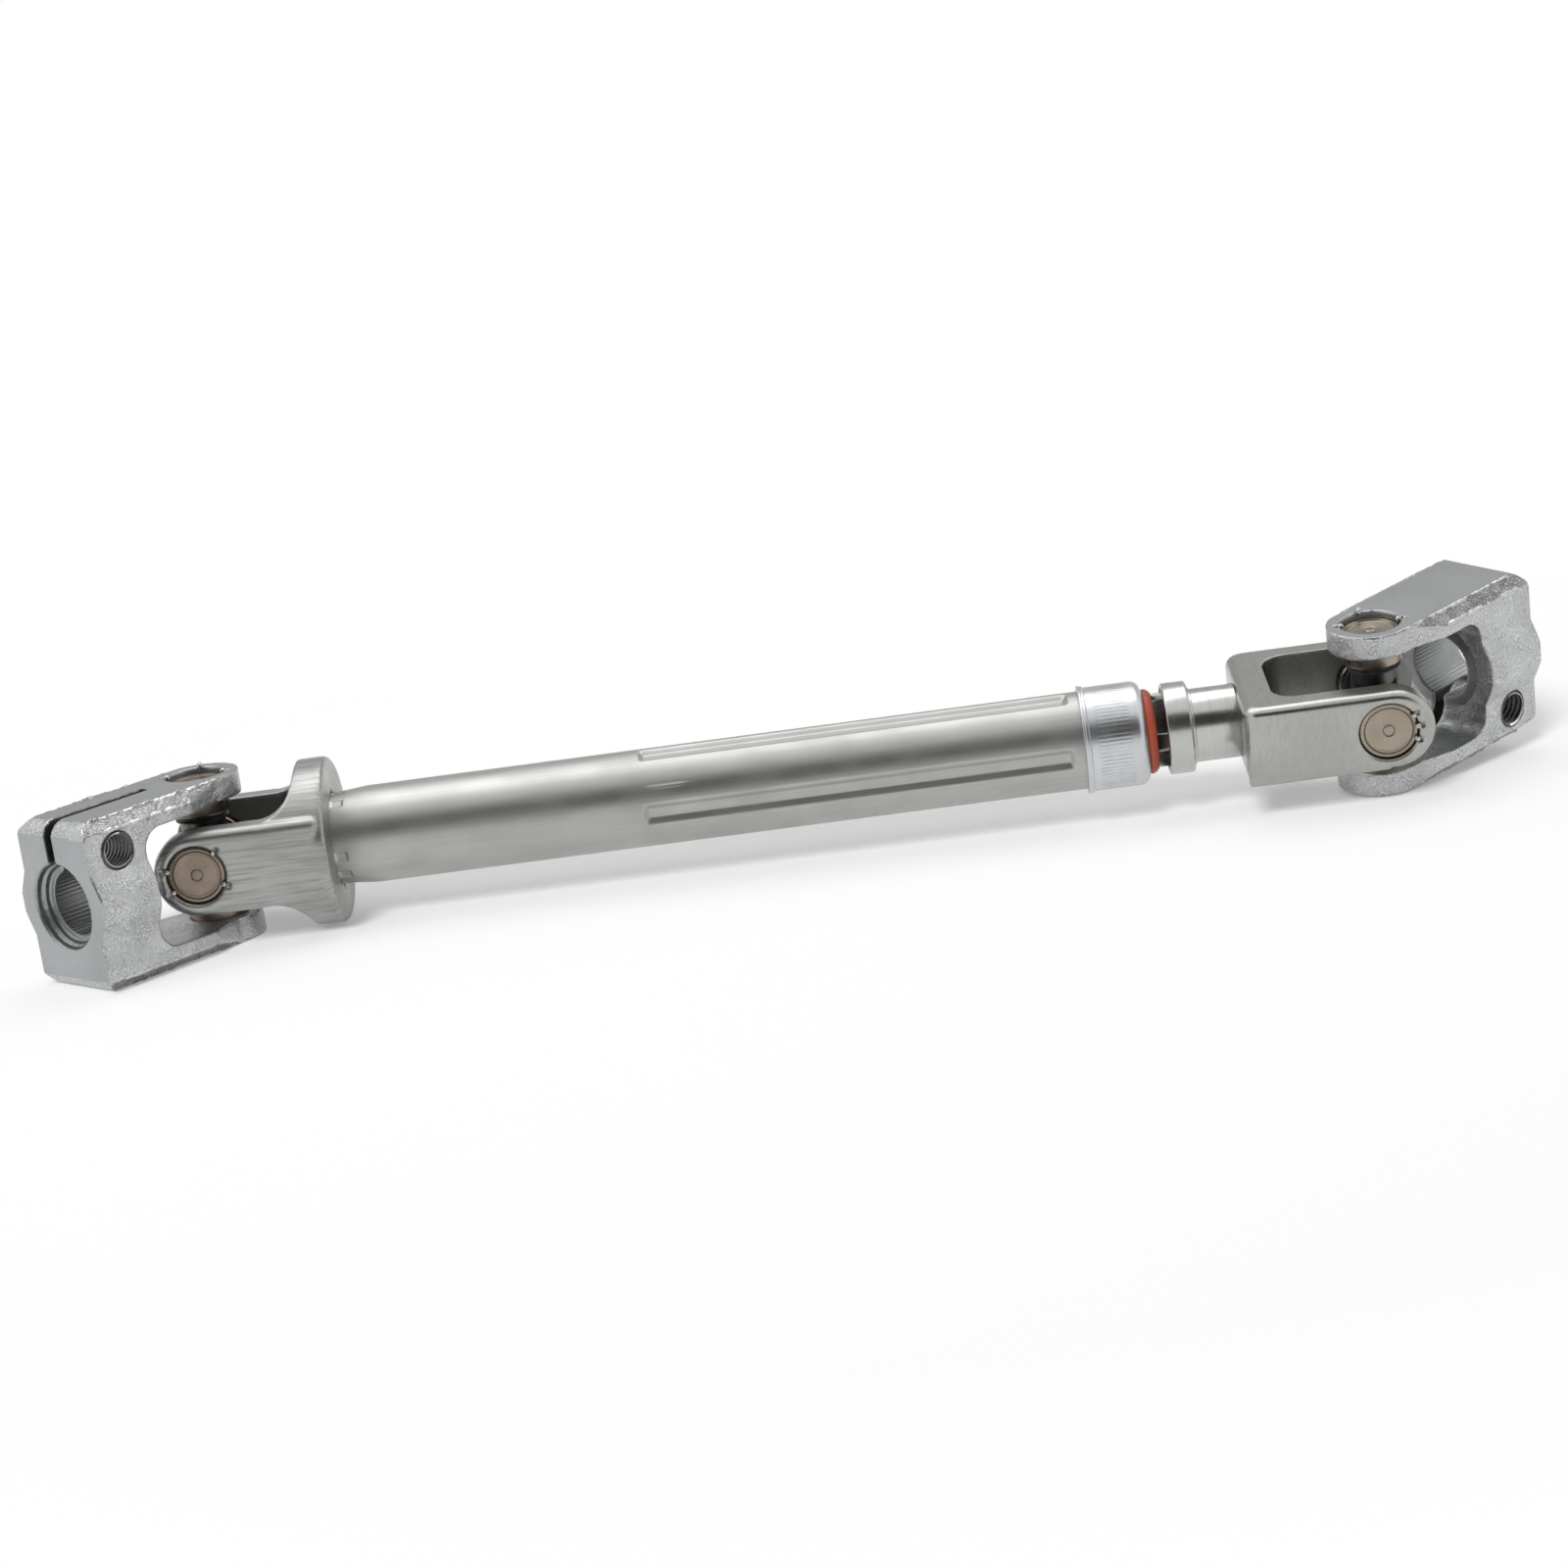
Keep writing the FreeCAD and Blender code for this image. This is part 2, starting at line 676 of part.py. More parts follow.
def make_clamp_yoke(label, root, block_length):
    """Cast clamp yoke. Its arms point along -X, its bore opens at +X, its slit is on top."""
    reach = root + block_length
    body = new_body(label)
    section = new_sketch(body, "YZ_Plane", "section", -size.clamp_ear_round)
    outline(section, clamp_section())
    block = pad(body, section, reach + size.clamp_ear_round)
    soften(body, block, runs_along_x, "Fillet", size.cast_edge)
    round_end(body, "slit_end", reach, size.slit_corner, 1)
    round_end(body, "plain_end", reach, size.plain_corner, -1)
    trim_to_plan(body, root, reach)

    gap = new_sketch(body, "XZ_Plane", "gap")
    half_gap = size.clamp_gap
    corner = size.clamp_corner
    outline(
        gap,
        [
            (-reach, -half_gap),
            (root - corner, -half_gap, corner),
            (root, corner - half_gap),
            (root, half_gap - corner, corner),
            (root - corner, half_gap),
            (-reach, half_gap),
        ],
    )
    pocket(body, gap, symmetric=True)

    bore = new_sketch(body, "XY_Plane", "bore")
    outline(
        bore,
        [
            (root - PAST_FACE, 0),
            (reach + PAST_FACE, 0),
            (reach + PAST_FACE, size.mouth_radius + size.mouth_edge + PAST_FACE),
            (reach - size.mouth_edge, size.mouth_radius),
            (reach - size.mouth_depth, size.mouth_radius),
            (reach - size.mouth_depth, size.ring_radius),
            (reach - size.ring_depth, size.ring_radius),
            (reach - size.ring_depth, size.clamp_bore),
            (root - PAST_FACE, size.clamp_bore),
        ],
    )
    bore_out(body, bore)

    slit = new_sketch(body, "XY_Plane", "slit")
    outline(
        slit,
        [
            (size.slit_reach, -size.slit_width),
            (reach + PAST_FACE, -size.slit_width),
            (reach + PAST_FACE, 0),
            (size.slit_reach, 0),
        ],
    )
    pocket(body, slit, backwards=True)

    middle_of_slit = size.slit_width / 2
    pinch_along = reach - size.pinch_inset
    thread = new_sketch(body, "XZ_Plane", "thread", middle_of_slit)
    circle(thread, pinch_along, size.pinch_height, size.thread_radius)
    pocket(body, thread)
    clearance = new_sketch(body, "XZ_Plane", "clearance", middle_of_slit)
    circle(clearance, pinch_along, size.pinch_height, size.clearance_radius)
    pocket(body, clearance, backwards=True)
    cup_bores(body, "XY_Plane", size.cup_radius, size.clamp_face, "z")
    return body


def make_cross(label):
    """Forged cross. Two trunnions lie along Y for the inner fork, two along Z for the clamp."""
    body = new_body(label)
    hub = new_sketch(body, "YZ_Plane", "hub")
    circle(hub, 0, 0, size.hub_radius)
    pad(body, hub, size.hub_width, symmetric=True)
    for plane, name in (("XZ_Plane", "across"), ("XY_Plane", "upright")):
        shoulder = new_sketch(body, plane, f"{name}_shoulder")
        circle(shoulder, 0, 0, size.shoulder_radius)
        pad(body, shoulder, shoulder_end * 2, symmetric=True)
        trunnion = new_sketch(body, plane, f"{name}_trunnion")
        circle(trunnion, 0, 0, trunnion_radius)
        pad(body, trunnion, trunnion_end * 2, symmetric=True)
    return body


def make_cup(label):
    """Bearing cup on the Z axis, with its closed end away from the joint centre."""
    body = new_body(label)
    reach = size.cup_reach
    radius = size.cup_radius
    inner = radius - size.cup_wall
    rim = inner - size.cup_dish
    profile = new_sketch(body, "XZ_Plane", "profile")
    outline(
        profile,
        [
            (0, reach - size.cup_base),
            (inner, reach - size.cup_base),
            (inner, reach - size.cup_length),
            (radius, reach - size.cup_length),
            (radius, reach - size.cup_edge),
            (radius - size.cup_edge, reach),
            (rim, reach),
            (rim - size.cup_dish, reach - size.cup_dish),
            (0, reach - size.cup_dish),
        ],
    )
    turn(body, profile, "V_Axis")
    return body


def make_needles(label):
    """The full ring of needle rollers inside one cup, on the Z axis."""
    body = new_body(label)
    body.AllowCompound = True
    outer_end = trunnion_end
    sketch = new_sketch(body, "XY_Plane", "needle", outer_end - size.needle_length)
    circle(sketch, needle_circle, 0, size.needle_diameter / 2)
    needle = pad(body, sketch, size.needle_length)
    half_angle = math.asin(size.needle_diameter.value / 2 / needle_circle.value)
    repeat_round(body, needle, "Z_Axis", int(math.pi / half_angle))
    return body


def make_trunnion_seal(label):
    """Rubber ring on a trunnion, against the cross's shoulder, on the Z axis."""
    body = new_body(label)
    profile = new_sketch(body, "XZ_Plane", "profile")
    bevel = size.seal_thickness / 3
    outline(
        profile,
        [
            (trunnion_radius, shoulder_end),
            (size.seal_radius - bevel, shoulder_end),
            (size.seal_radius, shoulder_end + bevel),
            (size.seal_radius, seal_outer_end),
            (trunnion_radius, seal_outer_end),
        ],
    )
    turn(body, profile, "V_Axis")
    return body


def lobed_outline(sketch, radius, half_rim, half_floor, floor):
    """A circle with four straight grooves in its rim, counter-clockwise from +X of the sketch."""
    reach = leg(radius, half_rim)
    quarter = [
        (floor, -half_floor),
        (floor, half_floor),
        (reach, half_rim, radius),
        (half_rim, reach),
    ]
    corners = []
    for _ in range(FLUTES):
        corners += quarter
        quarter = [(-as_size(c[1]), as_size(c[0]), *c[2:]) for c in quarter]
    outline(sketch, corners)


def make_outer_tube():
    """Tube with a drawn-in neck and four flutes pressed into its upper half, on the X axis."""
    body = new_body("outer_tube")
    neck_end = tube_start + size.neck_length
    cone_end = neck_end + size.neck_taper
    profile = new_sketch(body, "XY_Plane", "profile")
    outline(
        profile,
        [
            (tube_start, size.neck_radius - size.tube_wall),
            (neck_end, size.neck_radius - size.tube_wall),
            (cone_end, tube_bore),
            (tube_end, tube_bore),
            (tube_end, size.tube_radius),
            (cone_end, size.tube_radius),
            (neck_end, size.neck_radius),
            (tube_start, size.neck_radius),
        ],
    )
    turn(body, profile)

    rib = new_sketch(body, "YZ_Plane", "rib", flute_start)
    outline(
        rib,
        [
            (rib_top, -half_floor),
            (rib_root, -half_rim),
            (rib_root, half_rim),
            (rib_top, half_floor),
        ],
    )
    first_rib = pad(body, rib, size.flute_length)
    repeat_round(body, first_rib, "X_Axis", FLUTES)

    floor_height = size.tube_radius - size.flute_depth
    rim_height = size.tube_radius + PAST_SKIN
    middle_start = flute_start + size.flute_slope
    floor_end = flute_end - size.flute_slope
    volume = body.Shape.Volume
    floor = new_sketch(body, "XY_Plane", "flute_floor", floor_height)
    outline(
        floor,
        [
            (middle_start, -half_floor),
            (floor_end, -half_floor),
            (floor_end, half_floor),
            (middle_start, half_floor),
        ],
    )
    rim = new_sketch(body, "XY_Plane", "flute_rim", rim_height)
    outline(
        rim,
        [
            (flute_start, -half_rim),
            (flute_end, -half_rim),
            (flute_end, half_rim),
            (flute_start, half_rim),
        ],
    )
    flute = add_feature(body, "SubtractiveLoft", floor)
    flute.Sections = [rim]
    flute.Ruled = True
    check_cut(body, flute, volume)
    repeat_round(body, flute, "X_Axis", FLUTES)
    return body


def make_slide_sleeve():
    """Moulded sleeve that lines the fluted stretch of the tube, on the X axis."""
    body = new_body("slide_sleeve")
    start = flute_start + size.sleeve_inset
    wall = size.sleeve_wall
    ring = new_sketch(body, "YZ_Plane", "ring", start)
    lobed_outline(ring, tube_bore, rib_half_rim, half_floor, rib_top)
    lobed_outline(ring, sleeve_bore, rib_half_rim + wall, half_floor + wall, rib_top - wall)
    pad(body, ring, size.flute_length - size.sleeve_inset * 2)
    return body


def make_inner_shaft():
    """Solid shaft: grooved where it slides, turned from the collar on, on the X axis."""
    body = new_body("inner_shaft")
    start = flute_start + size.spline_inset
    skin = size.sleeve_wall + size.slide_play
    spline = new_sketch(body, "YZ_Plane", "spline", start)
    lobed_outline(spline, spline_radius, rib_half_rim + skin, half_floor + skin, rib_top - skin)
    splined = pad(body, spline, step_start - start)

    def inner_end(edge):
        return lies_in_plane(edge, "x", start.value)

    soften(body, splined, inner_end, "Chamfer", size.shaft_edge)
    plain = new_sketch(body, "YZ_Plane", "plain", step_start)
    circle(plain, 0, 0, size.shaft_radius)
    pad(body, plain, size.joint_span - size.base_face - step_start)
    seat = new_sketch(body, "YZ_Plane", "seat", size.joint_span - size.base_face)
    circle(seat, 0, 0, size.shaft_seat_radius)
    pad(body, seat, size.base_thickness)
    return body


def make_shaft_collar():
    """Ring pressed on the shaft, hollow on the side of the wiper seal, on the X axis."""
    body = new_body("shaft_collar")
    start = collar_start
    end = start + size.collar_width
    edge = size.collar_edge
    profile = new_sketch(body, "XY_Plane", "profile")
    outline(
        profile,
        [
            (start + size.collar_cup_depth, size.shaft_radius),
            (end, size.shaft_radius),
            (end, size.collar_radius - edge),
            (end - edge, size.collar_radius),
            (start + edge / 2, size.collar_radius),
            (start, size.collar_radius - edge / 2),
            (start, size.collar_cup_radius),
            (start + size.collar_cup_depth, size.collar_cup_radius),
        ],
    )
    turn(body, profile)
    return body


def make_seal_retainer():
    """Pressed sheet cap on the end of the tube that holds the wiper seal, on the X axis."""
    body = new_body("seal_retainer")
    start = tube_end - size.retainer_grip
    band = size.tube_radius + size.retainer_wall
    rim = band + size.retainer_step
    rim_half = size.retainer_bead / 2
    round_out = size.retainer_shoulder
    round_in = retainer_round_in
    inner_end = retainer_inner_end
    profile = new_sketch(body, "XY_Plane", "profile")
    outline(
        profile,
        [
            (start, size.tube_radius),
            (inner_end - round_in, size.tube_radius, round_in, "right"),
            (inner_end, size.tube_radius - round_in),
            (inner_end, size.retainer_mouth),
            (retainer_end, size.retainer_mouth),
            (retainer_end, band - round_out, round_out),
            (retainer_end - round_out, band),
            (start + size.retainer_bead, band),
            (start + rim_half, rim),
            (start, rim - size.retainer_step / 3),
        ],
    )
    turn(body, profile)
    return body


def make_wiper_seal():
    """Soft wiper ring: a flange held by the retainer and a cone that stands out of it."""
    body = new_body("wiper_seal")
    bore = spline_radius + size.lip_play
    start = tube_end
    tip = lip_tip
    mouth = size.retainer_mouth
    round_in = retainer_round_in
    flange_end = retainer_inner_end
    profile = new_sketch(body, "XY_Plane", "profile")
    outline(
        profile,
        [
            (start, bore),
            (tip, bore),
            (tip, bore + size.lip_wall),
            (retainer_end, mouth),
            (flange_end, mouth),
            (flange_end, size.tube_radius - round_in, round_in),
            (flange_end - round_in, size.tube_radius),
            (start, size.tube_radius),
        ],
    )
    turn(body, profile)
    return body


X_AXIS = FreeCAD.Vector(1, 0, 0)
Y_AXIS = FreeCAD.Vector(0, 1, 0)
Z_AXIS = FreeCAD.Vector(0, 0, 1)


def turned(axis, degrees):
    """A placement that only turns about an axis through the origin."""
    return FreeCAD.Placement(FreeCAD.Vector(), FreeCAD.Rotation(axis, degrees))


def moved(x, y, z):
    """A placement that only moves."""
    return FreeCAD.Placement(FreeCAD.Vector(x, y, z), FreeCAD.Rotation())


lower_joint = FreeCAD.Placement()
upper_joint = moved(size.joint_span.value, 0, 0) * turned(X_AXIS, size.yoke_phase_angle.value)
lower_clamp_place = lower_joint * turned(Z_AXIS, 180 + size.lower_bend_angle.value)
upper_clamp_place = upper_joint * turned(Z_AXIS, size.upper_bend_angle.value) * turned(X_AXIS, 180)
slide_place = turned(X_AXIS, size.flute_turn_angle.value)

# Turns that bring the Z axis of a cup to the front, the rear, the top and the bottom of a joint
CUP_TURNS = {
    "front": turned(X_AXIS, 90),
    "rear": turned(X_AXIS, -90),
    "top": FreeCAD.Placement(),
    "bottom": turned(X_AXIS, 180),
}

pieces = {}


def keep(body, place):
    """Note a finished piece with its place in the frame of the tube."""
    pieces[body.Label] = (body, place)


keep(make_tube_yoke(), lower_joint * turned(Z_AXIS, 180))
keep(make_outer_tube(), slide_place)
keep(make_slide_sleeve(), slide_place)
keep(make_seal_retainer(), slide_place)
keep(make_wiper_seal(), slide_place)
keep(make_inner_shaft(), slide_place)
keep(make_shaft_collar(), slide_place)
keep(make_shaft_yoke(), upper_joint)
keep(make_clamp_yoke("lower_clamp_yoke", lower_root, size.lower_block), lower_clamp_place)
keep(make_clamp_yoke("upper_clamp_yoke", upper_root, size.upper_block), upper_clamp_place)
for joint_name, joint_place in (("lower", lower_joint), ("upper", upper_joint)):
    keep(make_cross(f"{joint_name}_cross"), joint_place)
    for side_name, side_turn in CUP_TURNS.items():
        side_place = joint_place * side_turn
        keep(make_cup(f"{joint_name}_cup_{side_name}"), side_place)
        keep(make_needles(f"{joint_name}_needles_{side_name}"), side_place)
        keep(make_trunnion_seal(f"{joint_name}_seal_{side_name}"), side_place)


def lie_on_ground():
    """Turn the whole as it lies, then set it on the ground with its box centred on the origin."""
    roll = turned(X_AXIS, size.lie_roll_angle.value)
    pitch = turned(Y_AXIS, size.lie_pitch_angle.value)
    tilt = pitch * roll
    for body, place in pieces.values():
        body.Placement = tilt * place
    doc.recompute()
    box = FreeCAD.BoundBox()
    for body, _ in pieces.values():
        box.add(body.Shape.optimalBoundingBox(False))
    shift = moved(-box.Center.x, -box.Center.y, -box.ZMin)
    for body, place in pieces.values():
        body.Placement = shift * tilt * place
    doc.recompute()
    return shift * tilt


frame_place = lie_on_ground()


def check_document():
    """Stop where an object failed or a piece has no sound solid."""
    for thing in doc.Objects:
        if "Invalid" in thing.State or "Error" in thing.State:
            raise RuntimeError(f"{thing.Name} failed: {thing.State}")
    for label, (body, _) in pieces.items():
        if body.Shape.isNull() or not body.Shape.isValid():
            raise RuntimeError(f"{label} has no valid shape")


check_document()
os.makedirs("parts", exist_ok=True)
for piece_label, (piece_body, _) in pieces.items():
    piece_body.Shape.exportStep(f"parts/{piece_label}.step")
    solids = len(piece_body.Shape.Solids)
    print(f"{piece_label}: {solids} solids, {piece_body.Shape.Volume / 1000:.2f} cm3")
print(f"the lower joint's centre stands at {frame_place.Base}")
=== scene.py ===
"""Looks of an intermediate steering shaft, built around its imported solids.

The solids, joints and mounts say where everything sits. Each class below is one sub-assembly. It is
drawn in its own axes, with X along its own shaft or bore, and then laid in the row's frame.
"""

import json
import logging
import math
from collections.abc import Sequence
from dataclasses import dataclass
from enum import Enum

import bmesh
import bpy
from mathutils import Matrix, Vector, noise


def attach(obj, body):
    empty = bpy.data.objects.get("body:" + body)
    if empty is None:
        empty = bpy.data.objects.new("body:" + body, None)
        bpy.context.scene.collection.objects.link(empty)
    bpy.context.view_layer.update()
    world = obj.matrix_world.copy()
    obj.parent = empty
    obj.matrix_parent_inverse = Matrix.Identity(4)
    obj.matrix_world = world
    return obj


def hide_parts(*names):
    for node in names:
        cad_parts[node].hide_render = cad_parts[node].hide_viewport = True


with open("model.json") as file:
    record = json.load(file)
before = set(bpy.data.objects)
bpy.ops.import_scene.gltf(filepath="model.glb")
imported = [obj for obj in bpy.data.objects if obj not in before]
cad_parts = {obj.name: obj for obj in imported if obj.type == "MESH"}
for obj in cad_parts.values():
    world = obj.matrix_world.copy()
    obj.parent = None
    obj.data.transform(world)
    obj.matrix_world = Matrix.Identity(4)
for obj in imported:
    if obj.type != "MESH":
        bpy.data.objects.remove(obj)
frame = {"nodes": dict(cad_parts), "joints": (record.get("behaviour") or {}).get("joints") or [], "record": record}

LOG = logging.getLogger("steering_shaft")
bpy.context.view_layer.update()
JOINTS = {joint["name"]: joint for joint in frame["joints"]}
MOUNTS = {mount["name"]: mount for mount in frame["record"]["mounts"]}

MM = 0.001
WELD = 0.000001
FULL_TURN = math.radians(360.0)
QUARTER_TURN = math.radians(90.0)
NOISE_SEED = 7
UNIT = (1.0, 1.0, 1.0)
ALONG_X = (0.02, 1.0, 1.0)
ROUND_X = (1.0, 0.02, 0.02)
SIDES = (-1.0, 1.0)

Mesh = bmesh.types.BMesh
Socket = bpy.types.NodeSocket
Colour = tuple[float, float, float]
Profile = Sequence[tuple[float, float]]


def mm(*numbers: float) -> Vector:
    """A vector from millimetres."""
    return Vector([number * MM for number in numbers])


def axes_at(origin: Sequence[float], x_axis: Sequence[float], z_axis: Sequence[float]) -> Matrix:
    """Build the matrix of a right-handed set of axes.

    Args:
        origin: Where the axes start, in the row frame.
        x_axis: Direction of X.
        z_axis: Direction of Z, which may lean a little along X.

    Returns:
        The matrix that takes a point from these axes to the row frame.
    """
    along = Vector(x_axis).normalized()
    across = Vector(z_axis).cross(along).normalized()
    turn = Matrix((along, across, along.cross(across))).transposed()
    return Matrix.Translation(Vector(origin)) @ turn.to_4x4()


def joint_axes(end: str, x_axis: Sequence[float], way: float = 1.0) -> Matrix:
    """Build axes at a joint's centre, with Z on the line that its clamp yoke swings about.

    Args:
        end: "lower" or "upper".
        x_axis: Direction of X.
        way: 1 for Z along that line's own direction, -1 against it.

    Returns:
        The matrix that takes a point from these axes to the row frame.
    """
    swing = Vector(JOINTS[f"{end}_clamp_swing"]["axis"])
    return axes_at(JOINTS[f"{end}_cross_swing"]["pos_m"], x_axis, swing * way)


class Place(Enum):
    """Axes that the sub-assemblies are drawn in, each starting at a joint's centre."""

    TUBE = joint_axes("lower", JOINTS["shaft_slide"]["axis"])
    SHAFT_YOKE = joint_axes("upper", JOINTS["shaft_slide"]["axis"])
    LOWER_CLAMP = joint_axes("lower", MOUNTS["lower_clamp_bore"]["axis"])
    UPPER_CLAMP = joint_axes("upper", MOUNTS["upper_clamp_bore"]["axis"], way=-1.0)


class Body(Enum):
    """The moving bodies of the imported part."""

    TUBE = "tube_assembly"
    LOWER_CROSS = "lower_cross_body"
    LOWER_CLAMP = "lower_clamp"
    SHAFT = "shaft_assembly"
    UPPER_CROSS = "upper_cross_body"
    UPPER_CLAMP = "upper_clamp"


class Side(Enum):
    """The four arms of a cross: where each points in its joint's axes, and its twelve o'clock."""

    FRONT = ((0.0, -1.0, 0.0), (0.0, 0.0, 1.0))
    REAR = ((0.0, 1.0, 0.0), (0.0, 0.0, 1.0))
    TOP = ((0.0, 0.0, 1.0), (0.0, 1.0, 0.0))
    BOTTOM = ((0.0, 0.0, -1.0), (0.0, 1.0, 0.0))

    def axes(self) -> Matrix:
        """Axes whose X points out along this arm and whose Z points to twelve o'clock."""
        return axes_at((0.0, 0.0, 0.0), *self.value)


class End(Enum):
    """The two cardan joints: axes of fork and clamp yoke, and bodies of cross, clamp yoke and fork."""

    LOWER = (Place.TUBE, Place.LOWER_CLAMP, Body.LOWER_CROSS, Body.LOWER_CLAMP, Body.TUBE)
    UPPER = (Place.SHAFT_YOKE, Place.UPPER_CLAMP, Body.UPPER_CROSS, Body.UPPER_CLAMP, Body.SHAFT)

    def __init__(self, fork: Place, clamp: Place, cross_body: Body, clamp_body: Body, body: Body) -> None:
        """Name the five values.

        Args:
            fork: Axes of the fork on the tube or the shaft.
            clamp: Axes of the clamp yoke.
            cross_body: Body of the cross.
            clamp_body: Body of the clamp yoke.
            body: Body of the fork.
        """
        self.word = self.name.lower()
        self.fork, self.clamp = fork, clamp
        self.cross_body, self.clamp_body, self.fork_body = cross_body, clamp_body, body

    def ear_body(self, side: Side) -> Body:
        """The body whose ear carries a cup: the fork's in front and behind, else the clamp yoke's."""
        return self.fork_body if side in (Side.FRONT, Side.REAR) else self.clamp_body


class NodeGraph:
    """Short calls for building one material's node tree."""

    def __init__(self, name: str) -> None:
        """Start an empty material with its output and a Principled shader.

        Args:
            name: The material's name.
        """
        self.material = bpy.data.materials.new(name)
        self.material.use_nodes = True
        self.tree = self.material.node_tree
        self.tree.nodes.clear()
        output = self.tree.nodes.new("ShaderNodeOutputMaterial")
        self.shader = self.tree.nodes.new("ShaderNodeBsdfPrincipled")
        self.tree.links.new(self.shader.outputs["BSDF"], output.inputs["Surface"])

    def feed(self, node: bpy.types.Node, key: str | int, value: object) -> None:
        """Link a socket to an input, or set a plain value on it.

        Args:
            node: The node that takes the value.
            key: The input's name or number.
            value: A socket, or a number or colour.
        """
        target = node.inputs[key]
        if isinstance(value, bpy.types.NodeSocket):
            self.tree.links.new(value, target)
        elif target.type == "RGBA":
            target.default_value = (*value, 1.0)
        else:
            target.default_value = value

    def node(self, kind: str, settings: dict | None = None, **inputs: object) -> bpy.types.Node:
        """Add a node.

        Args:
            kind: The node's type without its "ShaderNode" start.
            settings: Properties of the node.
            inputs: Values or sockets, by input name with "_" for a space.

        Returns:
            The new node.
        """
        node = self.tree.nodes.new(f"ShaderNode{kind}")
        for key, value in (settings or {}).items():
            setattr(node, key, value)
        for key, value in inputs.items():
            self.feed(node, key.replace("_", " "), value)
        return node

    def finish(self, **inputs: object) -> bpy.types.Material:
        """Set the shader's inputs.

        Args:
            inputs: Values or sockets, by input name with "_" for a space.

        Returns:
            The finished material.
        """
        for key, value in inputs.items():
            self.feed(self.shader, key.replace("_", " "), value)
        return self.material

    def coordinates(self, place: Place, stretch: Colour = UNIT) -> Socket:
        """Object coordinates turned into a sub-assembly's own axes, then stretched.

        Args:
            place: The sub-assembly's axes.
            stretch: Factors along its X, Y and Z.

        Returns:
            The vector socket.
        """
        inverse = place.value.inverted()
        turned = self.node("Mapping", Vector=self.node("TexCoord").outputs["Object"])
        turned.inputs["Location"].default_value = inverse.to_translation()
        turned.inputs["Rotation"].default_value = inverse.to_euler("XYZ")
        return self.node("Mapping", Vector=turned.outputs["Vector"], Scale=stretch).outputs["Vector"]

    def noise(self, vector: Socket, scale: float, detail: float = 3.0) -> Socket:
        """Soft noise between 0 and 1, with about `scale` features for each metre."""
        return self.node("TexNoise", Vector=vector, Scale=scale, Detail=detail).outputs["Fac"]

    def remap(
        self, value: Socket, source: tuple[float, float], target: tuple[float, float] = (0.0, 1.0)
    ) -> Socket:
        """Stretch a value from one range to another and clamp it.

        Args:
            value: The value.
            source: The two ends of the range that it comes from.
            target: The two ends of the range that it goes to.

        Returns:
            The new value.
        """
        node = self.node("MapRange", Value=value)
        for key, number in zip(("From Min", "From Max", "To Min", "To Max"), (*source, *target)):
            node.inputs[key].default_value = number
        return node.outputs["Result"]

    def blend(self, factor: object, first: object, second: object) -> Socket:
        """Mix two colours.

        Args:
            factor: 0 for the first, 1 for the second.
            first: A colour or a socket.
            second: A colour or a socket.

        Returns:
            The mixed colour.
        """
        node = self.node("Mix", {"data_type": "RGBA"})
        for key, value in zip((0, 6, 7), (factor, first, second)):
            self.feed(node, key, value)
        return node.outputs[2]

    def math(self, operation: str, first: object, second: object = 0.0) -> Socket:
        """Work out one sum.

        Args:
            operation: The Math node's operation.
            first: The first number or socket.
            second: The second number or socket.

        Returns:
            The result.
        """
        node = self.node("Math", {"operation": operation})
        self.feed(node, 0, first)
        self.feed(node, 1, second)
        return node.outputs[0]

    def bump(self, height: Socket, depth: float, under: Socket | None = None) -> Socket:
        """Bump the surface.

        Args:
            height: Height from 0 to 1.
            depth: The depth that 1 stands for.
            under: A normal to start from.

        Returns:
            The bumped normal.
        """
        node = self.node("Bump", Height=height, Distance=depth)
        if under is not None:
            self.feed(node, "Normal", under)
        return node.outputs["Normal"]

    def seen(self) -> Socket:
        """1 on camera, glossy and transmission rays, which should see the background white."""
        path = self.node("LightPath")
        seen = self.math("MAXIMUM", path.outputs["Is Camera Ray"], path.outputs["Is Glossy Ray"])
        return self.math("MAXIMUM", seen, path.outputs["Is Transmission Ray"])


